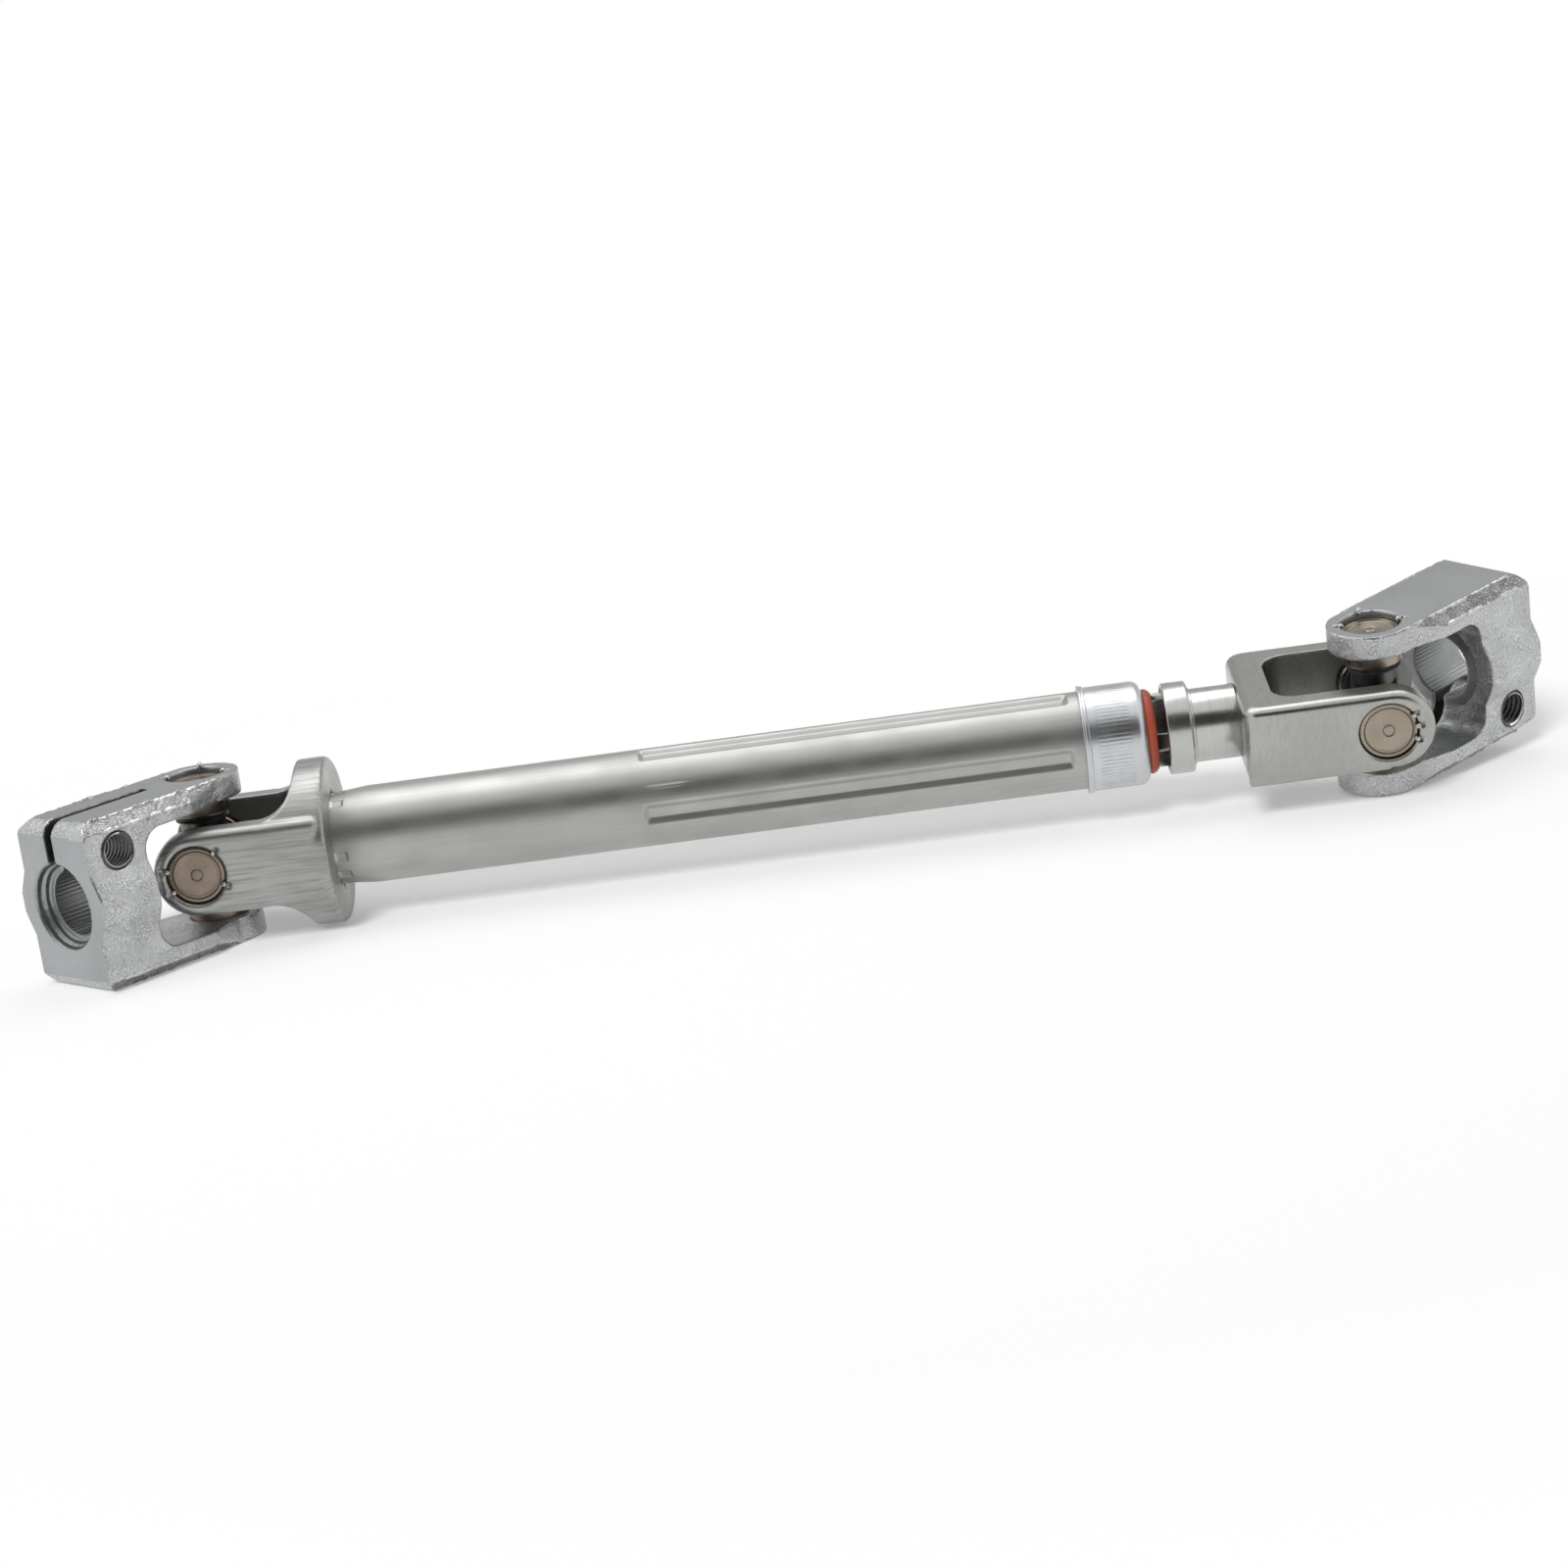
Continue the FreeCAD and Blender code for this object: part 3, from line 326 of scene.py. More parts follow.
@dataclass(frozen=True)
class Metal:
    """A bare metal surface: cloudy colour, the fine lines of a tool or a die, and a skin of grain with painted
    glints and painted shade in its specks.
    """

    name: str
    colour: Colour
    dark: Colour
    roughness: float
    stretch: Colour = UNIT
    cloud_scale: float = 70.0
    cloud_tint: float = 0.35
    line_scale: float = 1500.0
    line_depth: float = 0.002 * MM
    line_tint: float = 0.3
    grain_scale: float = 0.0
    grain_depth: float = 0.0
    spark: float = 0.0
    glint_colour: Colour = (0.92, 0.93, 0.92)
    pit_shade_colour: Colour = (0.16, 0.16, 0.16)
    crimps: int = 0
    crimp_shade_colour: Colour = (0.10, 0.105, 0.11)

    def crimped(self, graph: NodeGraph, still: Socket, colour: Socket) -> Socket:
        """Paint shade into the bottoms of the crimp grooves, which run along X all round the band.

        Args:
            graph: The material's nodes.
            still: Coordinates in the tube's axes.
            colour: The colour of the sheet.

        Returns:
            The colour with its painted shade lines.
        """
        split = graph.node("SeparateXYZ", Vector=still)
        turn = graph.math("ARCTAN2", split.outputs["Z"], split.outputs["Y"])
        phase = graph.math("FRACT", graph.math("MULTIPLY", turn, self.crimps / FULL_TURN))
        away = graph.math("ABSOLUTE", graph.math("SUBTRACT", phase, 0.5))
        uneven_shade = graph.remap(graph.noise(still, 260.0), (0.4, 0.62), (0.2, 0.75))
        line = graph.math("MULTIPLY", graph.remap(away, (0.35, 0.47)), uneven_shade)
        return graph.blend(line, colour, self.crimp_shade_colour)

    def build(self) -> bpy.types.Material:
        """Make the material."""
        graph = NodeGraph(self.name)
        still = graph.coordinates(Place.TUBE)
        clouds = graph.noise(still, self.cloud_scale, 4.0)
        lines = graph.noise(graph.coordinates(Place.TUBE, self.stretch), self.line_scale, 4.0)
        cloud = graph.remap(clouds, (0.35, 0.65), (0.0, self.cloud_tint))
        streak = graph.remap(lines, (0.42, 0.64), (0.0, self.line_tint))
        colour = graph.blend(streak, graph.blend(cloud, self.colour, self.dark), self.dark)
        normal = graph.bump(lines, self.line_depth)
        if self.grain_depth:
            grain = graph.noise(still, self.grain_scale)
            patches = graph.remap(graph.noise(still, self.cloud_scale * 3.0, 2.0), (0.4, 0.6), (0.25, 1.0))
            normal = graph.bump(graph.math("MULTIPLY", grain, patches), self.grain_depth, normal)
            # The grain's specks are painted light over the bump of the grain itself: bright painted glints on its
            # points and dark painted shade in its pits.
            for source, tone in (((0.52, 0.62), self.glint_colour), ((0.48, 0.38), self.pit_shade_colour)):
                speck = graph.math("MULTIPLY", graph.remap(grain, source, (0.0, self.spark)), patches)
                colour = graph.blend(speck, colour, tone)
        if self.crimps:
            colour = self.crimped(graph, still, colour)
        spread = (self.roughness - 0.05, self.roughness + 0.06)
        roughness = graph.remap(clouds, (0.3, 0.7), spread)
        return graph.finish(Base_Color=colour, Metallic=1.0, Roughness=roughness, Normal=normal)


@dataclass(frozen=True)
class Rubber:
    """Moulded rubber or plastic: plain colour with a little dust and a fine skin."""

    name: str
    colour: Colour
    dusty: Colour
    roughness: float
    dusty_roughness: float = 0.8
    skin_depth: float = 0.02 * MM

    def build(self) -> bpy.types.Material:
        """Make the material."""
        graph = NodeGraph(self.name)
        still = graph.coordinates(Place.TUBE)
        dust = graph.remap(graph.noise(still, 400.0, 4.0), (0.45, 0.7))
        return graph.finish(
            Base_Color=graph.blend(dust, self.colour, self.dusty),
            Roughness=graph.remap(dust, (0.0, 1.0), (self.roughness, self.dusty_roughness)),
            Normal=graph.bump(graph.noise(still, 2500.0), self.skin_depth),
        )


class Finish(Enum):
    """Every finish on the part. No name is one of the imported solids' own materials."""

    DRAWN = Metal("tube_skin", (0.45, 0.45, 0.435), (0.35, 0.35, 0.338), 0.42, ALONG_X)
    TURNED = Metal("lathe_skin", (0.53, 0.53, 0.514), (0.42, 0.42, 0.408), 0.25, ROUND_X)
    SPLINED = Metal("splined_steel", (0.50, 0.50, 0.48), (0.22, 0.22, 0.21), 0.34, line_tint=0.6)
    FORGED = Metal(
        "forged_skin", (0.43, 0.43, 0.42), (0.26, 0.26, 0.254), 0.40, (0.05, 1.0, 1.0),
        line_tint=0.75, line_depth=0.012 * MM,
    )
    BLANKED = Metal(
        "blanked_steel", (0.43, 0.43, 0.408), (0.30, 0.30, 0.283), 0.28, (1.0, 0.2, 0.3),
        line_scale=1200.0, line_depth=0.006 * MM,
    )
    # Inner faces of the forks' ears: a darker copy of the forged finish, as painted shade.
    SHADED = Metal("fork_inside_painted_shade", (0.30, 0.30, 0.285), (0.16, 0.16, 0.15), 0.42)
    CAST = Metal(
        "cast_skin", (0.54, 0.55, 0.55), (0.34, 0.35, 0.35), 0.38, cloud_scale=90.0,
        cloud_tint=0.5, grain_scale=2200.0, grain_depth=0.22 * MM, spark=0.5,
    )
    BURRED = Metal(
        "burred_bevel", (0.31, 0.31, 0.31), (0.14, 0.14, 0.14), 0.38, cloud_scale=220.0,
        cloud_tint=0.9, grain_scale=1900.0, grain_depth=0.26 * MM, spark=0.55,
    )
    MACHINED = Metal(
        "machined_face", (0.41, 0.422, 0.427), (0.30, 0.313, 0.318), 0.34, cloud_scale=50.0,
        line_scale=900.0, line_tint=0.25,
    )
    # The walls of the narrow pinch slit: near-black painted shade.
    SLIT_SHADE = Metal("slit_painted_shade", (0.12, 0.12, 0.12), (0.06, 0.06, 0.06), 0.5)
    BORED = Metal("bored_wall", (0.35, 0.36, 0.36), (0.20, 0.205, 0.205), 0.38, line_depth=0.01 * MM)
    # The cut thread's flanks and roots carry near-black painted shade, and its crests a near-white painted
    # highlight.
    THREAD = Metal("thread_painted_shade", (0.13, 0.13, 0.13), (0.06, 0.06, 0.06), 0.4)
    PAINTED_CREST = Metal("thread_crest_painted_highlight", (0.90, 0.90, 0.90), (0.65, 0.65, 0.65), 0.4)
    SHEET = Metal("zinc_skin", (0.62, 0.635, 0.65), (0.50, 0.512, 0.525), 0.33, ALONG_X)
    # The crimped band: the sheet's finish with painted shade in the bottoms of its crimp grooves.
    CRIMPED = Metal("crimped_skin", (0.62, 0.635, 0.65), (0.50, 0.512, 0.525), 0.33, ALONG_X, crimps=80)
    # The lower cups use a darker tone of the upper cups' finish.
    LOWER_CUP = Metal("brown_cup", (0.285, 0.23, 0.184), (0.20, 0.164, 0.132), 0.30, cloud_scale=160.0)
    UPPER_CUP = Metal("tan_cup", (0.36, 0.314, 0.254), (0.265, 0.23, 0.184), 0.28, cloud_scale=160.0)
    # Painted shade in the two ring grooves of a cup's face.
    GROOVE_SHADE = Metal("cup_groove_painted_shade", (0.20, 0.165, 0.13), (0.12, 0.10, 0.08), 0.4)
    # The cross and the needles: near-black, painted as the shade they sit in inside the joint.
    GROUND = Metal("ground_steel_in_painted_shade", (0.14, 0.14, 0.14), (0.07, 0.07, 0.07), 0.35)
    # Bright metal of the raised punch burrs, also used as a painted highlight on the crests of the clamp yokes'
    # casting beads.
    BURR_AND_HIGHLIGHT = Metal("raised_burr_and_highlight", (0.62, 0.63, 0.62), (0.2, 0.21, 0.2), 0.25, cloud_scale=900.0)
    RED = Rubber("red_rubber", (0.35, 0.056, 0.024), (0.33, 0.08, 0.045), 0.42)
    BLACK = Rubber("lip_rubber", (0.018, 0.018, 0.018), (0.04, 0.04, 0.04), 0.35)
    PLASTIC = Rubber("lining_plastic", (0.1, 0.1, 0.1), (0.14, 0.14, 0.14), 0.5)

    def material(self) -> bpy.types.Material:
        """The finish's material, made the first time it is asked for."""
        return bpy.data.materials.get(self.value.name) or self.value.build()


def outline(start: float, points: Profile) -> list[tuple[float, float]]:
    """Turn a table of millimetres into a profile.

    Args:
        start: What the places along X are counted from, in metres.
        points: Pairs of a place along X and a radius, in millimetres.

    Returns:
        The profile in metres.
    """
    return [(start + along * MM, away * MM) for along, away in points]


def closed_strip(bm: Mesh, profile: Profile, closed: bool) -> list:
    """Draw a profile of points (along X, away from X) as edges.

    Args:
        bm: The mesh to draw in.
        profile: The points.
        closed: Whether the last point joins the first.

    Returns:
        The new vertices and edges.
    """
    points = [bm.verts.new((along, 0.0, away)) for along, away in profile]
    pairs = list(zip(points, points[1:]))
    if closed:
        pairs.append((points[-1], points[0]))
    return [*points, *(bm.edges.new(pair) for pair in pairs)]


def spun(profile: Profile, steps: int, closed: bool = True) -> Mesh:
    """Turn a profile about X.

    Args:
        profile: Points (along X, away from X).
        steps: Steps in the full turn.
        closed: Whether the last point joins the first.

    Returns:
        The closed mesh.
    """
    bm = bmesh.new()
    strip = closed_strip(bm, profile, closed)
    bmesh.ops.spin(
        bm, geom=strip, cent=(0.0, 0.0, 0.0), axis=(1.0, 0.0, 0.0), dvec=(0.0, 0.0, 0.0),
        angle=FULL_TURN, steps=steps, use_merge=True,
    )
    bmesh.ops.remove_doubles(bm, verts=bm.verts[:], dist=WELD)
    bmesh.ops.recalc_face_normals(bm, faces=bm.faces[:])
    return bm


def bevel(bm: Mesh, edges: list[bmesh.types.BMEdge], width: float, segments: int) -> None:
    """Round edges.

    Args:
        bm: The mesh.
        edges: The edges.
        width: Width of the bevel.
        segments: Faces across it.
    """
    bmesh.ops.bevel(
        bm, geom=edges, offset=width, offset_type="OFFSET", segments=segments, profile=0.5,
        affect="EDGES", clamp_overlap=True, material=-1,
    )


def ease_edges(bm: Mesh, width: float, angle: float = 30.0) -> None:
    """Bevel every edge that turns sharply.

    Args:
        bm: The mesh.
        width: Width of the bevel.
        angle: The least turn of an edge, in degrees.
    """
    limit = math.radians(angle)
    sharp = [edge for edge in bm.edges if edge.is_manifold and edge.calc_face_angle(0.0) > limit]
    bevel(bm, sharp, width, 2)


def add_rod(bm: Mesh, centre: Vector, way: str, radius: float, length: float, segments: int) -> None:
    """Add a closed rod.

    Args:
        bm: The mesh that takes it.
        centre: Its middle.
        way: The axis that it is turned about, from lying along Z: "X" or "Y".
        radius: Its radius.
        length: Its length.
        segments: Faces round it.
    """
    bmesh.ops.create_cone(
        bm, cap_ends=True, segments=segments, radius1=radius, radius2=radius, depth=length,
        matrix=Matrix.Translation(centre) @ Matrix.Rotation(QUARTER_TURN, 4, way),
    )


def add_burr(bm: Mesh, spot: Matrix, seed: float, grain: float, shake: float) -> None:
    """Add a burr: a small ball with an uneven skin.

    Args:
        bm: The mesh that takes it.
        spot: Its place and its three radii.
        seed: A number that makes its skin its own.
        grain: Features of the skin for each metre.
        shake: How far the skin is moved at most.
    """
    for vert in bmesh.ops.create_icosphere(bm, subdivisions=3, radius=1.0, matrix=spot)["verts"]:
        vert.co += noise.noise_vector(vert.co * grain + Vector((seed, 0.0, 0.0))) * shake


def stations(stretches: Profile, start: float) -> list[float]:
    """Places along a shaft, closer where the shape changes fast.

    Args:
        stretches: Pairs of where a stretch ends and the step within it.
        start: Where the first stretch starts.

    Returns:
        The places, both ends included.
    """
    places = [start]
    for end, step in stretches:
        first = places[-1]
        count = max(1, math.ceil((end - first) / step))
        places += [first + (end - first) * index / count for index in range(1, count + 1)]
    return places


def ramp(value: float) -> float:
    """A straight ramp from 0 to 1 with softened ends."""
    clamped = min(max(value, 0.0), 1.0)
    return 0.5 * clamped + 0.5 * clamped * clamped * (3.0 - 2.0 * clamped)


def turn_from(angle: float, middle: float) -> float:
    """The signed turn from one direction to another, the short way round, in radians."""
    return (angle - middle + math.pi) % FULL_TURN - math.pi


def solid_copy(node: str, place: Place) -> Mesh:
    """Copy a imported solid's mesh, merged, into a sub-assembly's axes.

    Args:
        node: The solid's node name.
        place: The sub-assembly's axes.

    Returns:
        The copy.
    """
    bm = bmesh.new()
    bm.from_mesh(frame["nodes"][node].data)
    bmesh.ops.remove_doubles(bm, verts=bm.verts[:], dist=WELD)
    bmesh.ops.transform(bm, matrix=place.value.inverted(), verts=bm.verts[:])
    return bm


def linked_object(name: str, bm: Mesh) -> bpy.types.Object:
    """Put a mesh in the scene.

    Args:
        name: The object's name.
        bm: The mesh, which is used up.

    Returns:
        The object.
    """
    mesh = bpy.data.meshes.new(name)
    bm.to_mesh(mesh)
    bm.free()
    made = bpy.data.objects.new(name, mesh)
    bpy.context.scene.collection.objects.link(made)
    return made


def modified(bm: Mesh, kind: str, settings: dict[str, object], tool: Mesh | None = None) -> Mesh:
    """Run one modifier on a mesh.

    Args:
        bm: The mesh, which is used up.
        kind: The modifier's type.
        settings: Its properties.
        tool: A second mesh that it works with, used up as well.

    Returns:
        The result.
    """
    trial = linked_object("trial", bm)
    modifier = trial.modifiers.new(kind.lower(), kind)
    for key, value in settings.items():
        setattr(modifier, key, value)
    helper = linked_object("tool", tool) if tool is not None else None
    if helper is not None:
        modifier.object = helper
    graph = bpy.context.evaluated_depsgraph_get()
    mesh = bpy.data.meshes.new_from_object(trial.evaluated_get(graph), depsgraph=graph)
    result = bmesh.new()
    result.from_mesh(mesh)
    bpy.data.meshes.remove(mesh)
    bpy.data.objects.remove(trial)
    if helper is not None:
        bpy.data.objects.remove(helper)
    return result


def reskinned(bm: Mesh, cutters: Mesh, added: Mesh, voxel: float, passes: int) -> Mesh:
    """Cut a solid, add shapes to it, and give the whole one even skin whose edges are worn round.

    Args:
        bm: The solid.
        cutters: Closed shapes to take away.
        added: Closed shapes to grow on it.
        voxel: Size of the skin's faces.
        passes: Smoothing passes.

    Returns:
        The new mesh.
    """
    cut = modified(bm, "BOOLEAN", {"operation": "DIFFERENCE", "solver": "EXACT"}, cutters)
    extra = bpy.data.meshes.new("added")
    added.to_mesh(extra)
    added.free()
    cut.from_mesh(extra)
    bpy.data.meshes.remove(extra)
    result = modified(cut, "REMESH", {"mode": "VOXEL", "voxel_size": voxel})
    for _ in range(passes):
        bmesh.ops.smooth_vert(
            result, verts=result.verts[:], factor=0.5, use_axis_x=True, use_axis_y=True, use_axis_z=True
        )
    result.normal_update()
    return result


@dataclass
class Piece:
    """A finished piece of the scene on its way into the row's frame."""

    name: str
    bm: Mesh
    place: Matrix
    body: Body
    slot: str
    finishes: Sequence[Finish]
    replaces: Sequence[str] = ()
    crease: float = 40.0

    def lay(self) -> None:
        """Lay the piece in the row's frame, its object at the origin, and hand it to its body."""
        bmesh.ops.transform(self.bm, matrix=self.place, verts=self.bm.verts[:])
        for face in self.bm.faces:
            face.smooth = True
        piece = linked_object(self.name, self.bm)
        piece.data.set_sharp_from_angle(angle=math.radians(self.crease))
        for finish in self.finishes:
            piece.data.materials.append(finish.material())
        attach(piece, self.body.value)
        if self.replaces:
            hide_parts(*self.replaces)
        LOG.info("%s: %d faces on %s", self.name, len(piece.data.polygons), self.body.value)


def dress(node: str, finish: Finish) -> None:
    """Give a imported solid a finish.

    Args:
        node: The solid's node name.
        finish: The finish.
    """
    solid = frame["nodes"][node]
    solid.data.materials.clear()
    solid.data.materials.append(finish.material())
    LOG.info("%s: dressed as %s", node, finish.value.name)


@dataclass(frozen=True)
class Stake:
    """A punch mark beside a bearing cup: a notch in the ear's face and the burr that it raised."""

    clock: float
    tall: bool
    notch_away: float = 8.9 * MM
    notch_size: Vector = mm(1.9, 1.3, 1.7)
    notch_lean: float = 14.0
    burr_away: float = 7.75 * MM
    burr_size: Vector = mm(0.85, 0.75, 0.8)
    burr_rise: float = -0.25 * MM
    burr_lean: float = -25.0
    tall_size: Vector = mm(1.275, 0.75, 0.72)
    tall_rise: float = 0.35 * MM
    grain: float = 1900.0
    shake: float = 0.16 * MM

    def spot(self, side: Matrix, along: float, away: float, lean: float, size: Vector) -> Matrix:
        """Find where a shape of the mark stands.

        Args:
            side: Axes whose X points out of the ear's face and whose Z points to twelve o'clock.
            along: Its place along that X.
            away: How far it is from that X.
            lean: Its lean outwards, in degrees.
            size: Its size.

        Returns:
            The matrix that takes a unit shape there.
        """
        turn = Matrix.Rotation(-math.radians(self.clock * 30.0), 4, "X")
        tilt = Matrix.Rotation(math.radians(lean), 4, "Y")
        return side @ turn @ Matrix.Translation((along, 0.0, away)) @ tilt @ Matrix.Diagonal((*size, 1.0))

    def add_notch(self, bm: Mesh, side: Matrix, face: float) -> None:
        """Add the notch to the cutters of an ear whose face is at `face`."""
        spot = self.spot(side, face, self.notch_away, self.notch_lean, self.notch_size)
        bmesh.ops.create_cube(bm, size=1.0, matrix=spot)

    def add_burr(self, bm: Mesh, side: Matrix, face: float) -> None:
        """Add the burr to the burrs of this ear.

        Args:
            bm: The burrs.
            side: Axes whose X points out of the ear's face.
            face: Where the ear's face is along that X.
        """
        rise, size = (self.tall_rise, self.tall_size) if self.tall else (self.burr_rise, self.burr_size)
        spot = self.spot(side, face + rise, self.burr_away, self.burr_lean, size)
        add_burr(bm, spot, self.clock, self.grain, self.shake)


# The punch marks' places on the clock, on each end's front, rear, top and bottom cup.
CLOCKS: dict[End, tuple[tuple[float, ...], ...]] = {
    End.LOWER: ((1.5, 3.8, 8.0, 9.5), (2.5, 5.0, 8.5, 11.0), (0.0, 3.0, 9.0), (1.0, 4.0, 8.2)),
    End.UPPER: ((2.0, 2.8, 3.7), (1.0, 5.0, 9.0), (11.6, 3.0, 9.0), (0.5, 4.5, 8.0)),
}


def stakes(end: End, side: Side) -> list[Stake]:
    """List the punch marks round one cup. The first one on top has a tall burr.

    Args:
        end: The joint.
        side: The cup's side.

    Returns:
        The marks.
    """
    clocks = CLOCKS[end][list(Side).index(side)]
    return [Stake(clock, side is Side.TOP and number == 0) for number, clock in enumerate(clocks)]


@dataclass
class BearingKit:
    """Cross, four cups and four trunnion seals of one cardan joint."""

    end: End
    cup_finish: Finish
    reach: float = 21.4 * MM
    sunk: float = 0.34 * MM
    clamp_face: float = 23.2 * MM
    fork_face: float = 22.4 * MM
    steps: int = 96
    grooves: Profile = ((1.40 * MM, 1.70 * MM), (6.38 * MM, 6.68 * MM))
    cup: Profile = (
        (-0.29, 0.0), (-0.29, 1.30), (-0.46, 1.45), (-0.46, 1.65), (-0.32, 1.80), (-0.34, 5.75),
        (-0.26, 5.85), (-0.24, 6.30), (-0.42, 6.42), (-0.42, 6.62), (0.0, 6.80), (0.0, 7.20),
        (-0.15, 7.62), (-0.55, 7.93), (-1.00, 8.0), (-8.6, 8.0), (-9.0, 7.7), (-9.0, 6.9),
        (-1.5, 6.9), (-1.5, 0.0),
    )
    seal: Profile = (
        (10.7, 4.47), (10.7, 7.0), (10.9, 7.3), (11.2, 7.3), (11.4, 6.8), (11.6, 6.8),
        (11.75, 7.2), (12.1, 7.15), (12.2, 6.8), (12.2, 4.47),
    )

    def cup_mesh(self) -> Mesh:
        """Bearing cup with its rolled edge, stepped face and the centre mark of its punch."""
        bm = spun(outline(self.reach, self.cup), self.steps, closed=False)
        ease_edges(bm, 0.05 * MM, angle=25.0)
        # Faces in the ring grooves of the cup's face take the darker finish as painted shade.
        for ring in bm.faces:
            spot = ring.calc_center_median()
            away = math.hypot(spot.y, spot.z)
            grooved = any(first < away < last for first, last in self.grooves)
            ring.material_index = int(grooved and abs(spot.x - self.reach + self.sunk) < 0.5 * MM)
        return bm

    def seal_mesh(self) -> Mesh:
        """Rubber ring with two lips."""
        bm = spun(outline(0.0, self.seal), self.steps)
        ease_edges(bm, 0.08 * MM)
        return bm

    def burr_mesh(self, side: Side) -> Mesh:
        """Draw all burrs round one cup.

        Args:
            side: The cup's side.

        Returns:
            The burrs.
        """
        bm = bmesh.new()
        face = self.fork_face if side in (Side.FRONT, Side.REAR) else self.clamp_face
        for stake in stakes(self.end, side):
            stake.add_burr(bm, side.axes(), face)
        return bm

    def dress(self) -> None:
        """Lay every piece of the joint."""
        end, place = self.end.word, self.end.fork.value
        look = [self.cup_finish, Finish.GROOVE_SHADE]
        for side in Side:
            word = side.name.lower()
            turned = place @ side.axes()
            body = self.end.ear_body(side)
            cup, seal = f"{end}_cup_{word}", f"{end}_seal_{word}"
            Piece(f"{cup}_face", self.cup_mesh(), turned, body, "bearing_cup", look, [cup]).lay()
            Piece(
                f"{seal}_ring", self.seal_mesh(), turned, self.end.cross_body, "black_rubber",
                [Finish.BLACK], [seal],
            ).lay()
            slot = "cast_steel" if body is self.end.clamp_body else "forged_steel"
            Piece(f"{cup}_burrs", self.burr_mesh(side), place, body, slot, [Finish.BURR_AND_HIGHLIGHT]).lay()
            dress(f"{end}_needles_{word}", Finish.GROUND)
        dress(f"{end}_cross", Finish.GROUND)


class Skin(Enum):
    """The surfaces of a clamp yoke, in the order of its material slots."""

    CAST = Finish.CAST
    MACHINED = Finish.MACHINED
    BORED = Finish.BORED
    SLIT_SHADE = Finish.SLIT_SHADE
    BURRED = Finish.BURRED
    # Painted highlight on the crests of the casting beads.
    PAINTED_CREST = Finish.BURR_AND_HIGHLIGHT


@dataclass
class ClampYoke:
    """Cast clamp yoke, drawn with its bore along X and its slit on the +Z side."""

    end: End
    voxel: float = 0.42 * MM
    face: float = 23.2 * MM
    reach: float = 50.0 * MM
    root: float = 31.0 * MM
    flat_half: float = 11.4 * MM
    block_half: float = 15.0 * MM
    bevel_drop: float = 3.2 * MM
    bead_starts: tuple[float, float] = (2.0 * MM, 14.0 * MM)
    bead_inset: float = 5.0 * MM
    bead_radius: float = 0.52 * MM
    bead_step: float = 0.5 * MM
    slit_width: float = 3.0 * MM
    slit_start: float = 16.0 * MM
    bore: float = 9.0 * MM
    ring_depth: float = 4.2 * MM
    mouth: float = 12.2 * MM
    cup_bore: float = 8.6 * MM
    cup_floor: float = 15.0 * MM
    thread_minor: float = 4.3 * MM
    thread_major: float = 5.05 * MM
    thread_pitch: float = 1.5 * MM
    thread_wall: float = 0.12 * MM
    thread_step: int = 40
    pinch_inset: float = 10.2 * MM
    pinch_height: float = 14.0 * MM
    teeth: int = 48
    tooth_height: float = 0.16 * MM
    tooth_wall: float = 0.12 * MM
    tooth_steps: int = 6
    snap: float = 0.2 * MM

    def bead_lines(self) -> tuple[tuple[float, float, float], ...]:
        """Start along X, place across and height of the upper and the lower bead."""
        upper = (self.bead_starts[0], self.flat_half, self.face - 0.3 * MM)
        lower = (self.bead_starts[1], self.block_half - 0.18 * MM, self.face - self.bevel_drop)
        return upper, lower

    def near_bead(self, point: Vector) -> bool:
        """Tell whether a spot is on the crest of a bead, which is given a painted highlight.

        Args:
            point: The spot, in the yoke's axes.

        Returns:
            True on a crest.
        """
        if point.x >= self.reach - self.bead_inset:
            return False
        ragged = (0.5 + 0.55 * noise.noise(point * 420.0)) * MM
        return any(
            start < point.x and math.hypot(abs(point.y) - across, abs(point.z) - height) < ragged
            for start, across, height in self.bead_lines()
        )

    def beads(self) -> Mesh:
        """The ragged casting burr along the long edges of the bevels."""
        bm = bmesh.new()
        for start, across, height in self.bead_lines():
            for y_side in SIDES:
                for z_side in SIDES:
                    self.add_bead(bm, start, y_side * across, z_side * height)
        return bm

    def add_bead(self, bm: Mesh, first: float, across: float, height: float) -> None:
        """Add one uneven bead along X, drawn as a disc that is extruded step by step.

        Args:
            bm: The mesh that takes it.
            first: Where it starts along X.
            across: Its place along Y.
            height: Its place along Z.
        """
        count = int((self.reach - self.bead_inset - first) / self.bead_step)
        spot = Matrix.Translation((first, across, height)) @ Matrix.Rotation(QUARTER_TURN, 4, "Y")
        made = bmesh.ops.create_circle(bm, cap_ends=True, segments=8, radius=self.bead_radius, matrix=spot)
        disc = made["verts"][0].link_faces[0]
        for index in range(count):
            grown = bmesh.ops.extrude_face_region(bm, geom=[disc], use_keep_orig=index == 0)
            disc = next(item for item in grown["geom"] if isinstance(item, bmesh.types.BMFace))
            wave = noise.noise(Vector((index * 0.45, across * 900.0, height * 900.0)))
            middle = Vector((first + (index + 1) * self.bead_step, across, height + wave * 0.18 * MM))
            around = self.bead_radius * (0.95 + 0.6 * wave)
            centre = disc.calc_center_median()
            for vert in disc.verts:
                vert.co = middle + (vert.co - centre).normalized() * around
        bmesh.ops.recalc_face_normals(bm, faces=bm.faces[:])

    def cutters(self) -> Mesh:
        """Notches of the punch marks, and room for the cut thread."""
        bm = bmesh.new()
        to_clamp = self.end.clamp.value.inverted() @ self.end.fork.value
        for side in (Side.TOP, Side.BOTTOM):
            for stake in stakes(self.end, side):
                stake.add_notch(bm, to_clamp @ side.axes(), self.face)
        first = -1.0 * MM
        last = self.block_half + 3.0 * MM
        middle = Vector((self.reach - self.pinch_inset, (first + last) / 2, self.pinch_height))
        add_rod(bm, middle, "X", self.thread_major + 0.1 * MM, last - first, 48)
        return bm

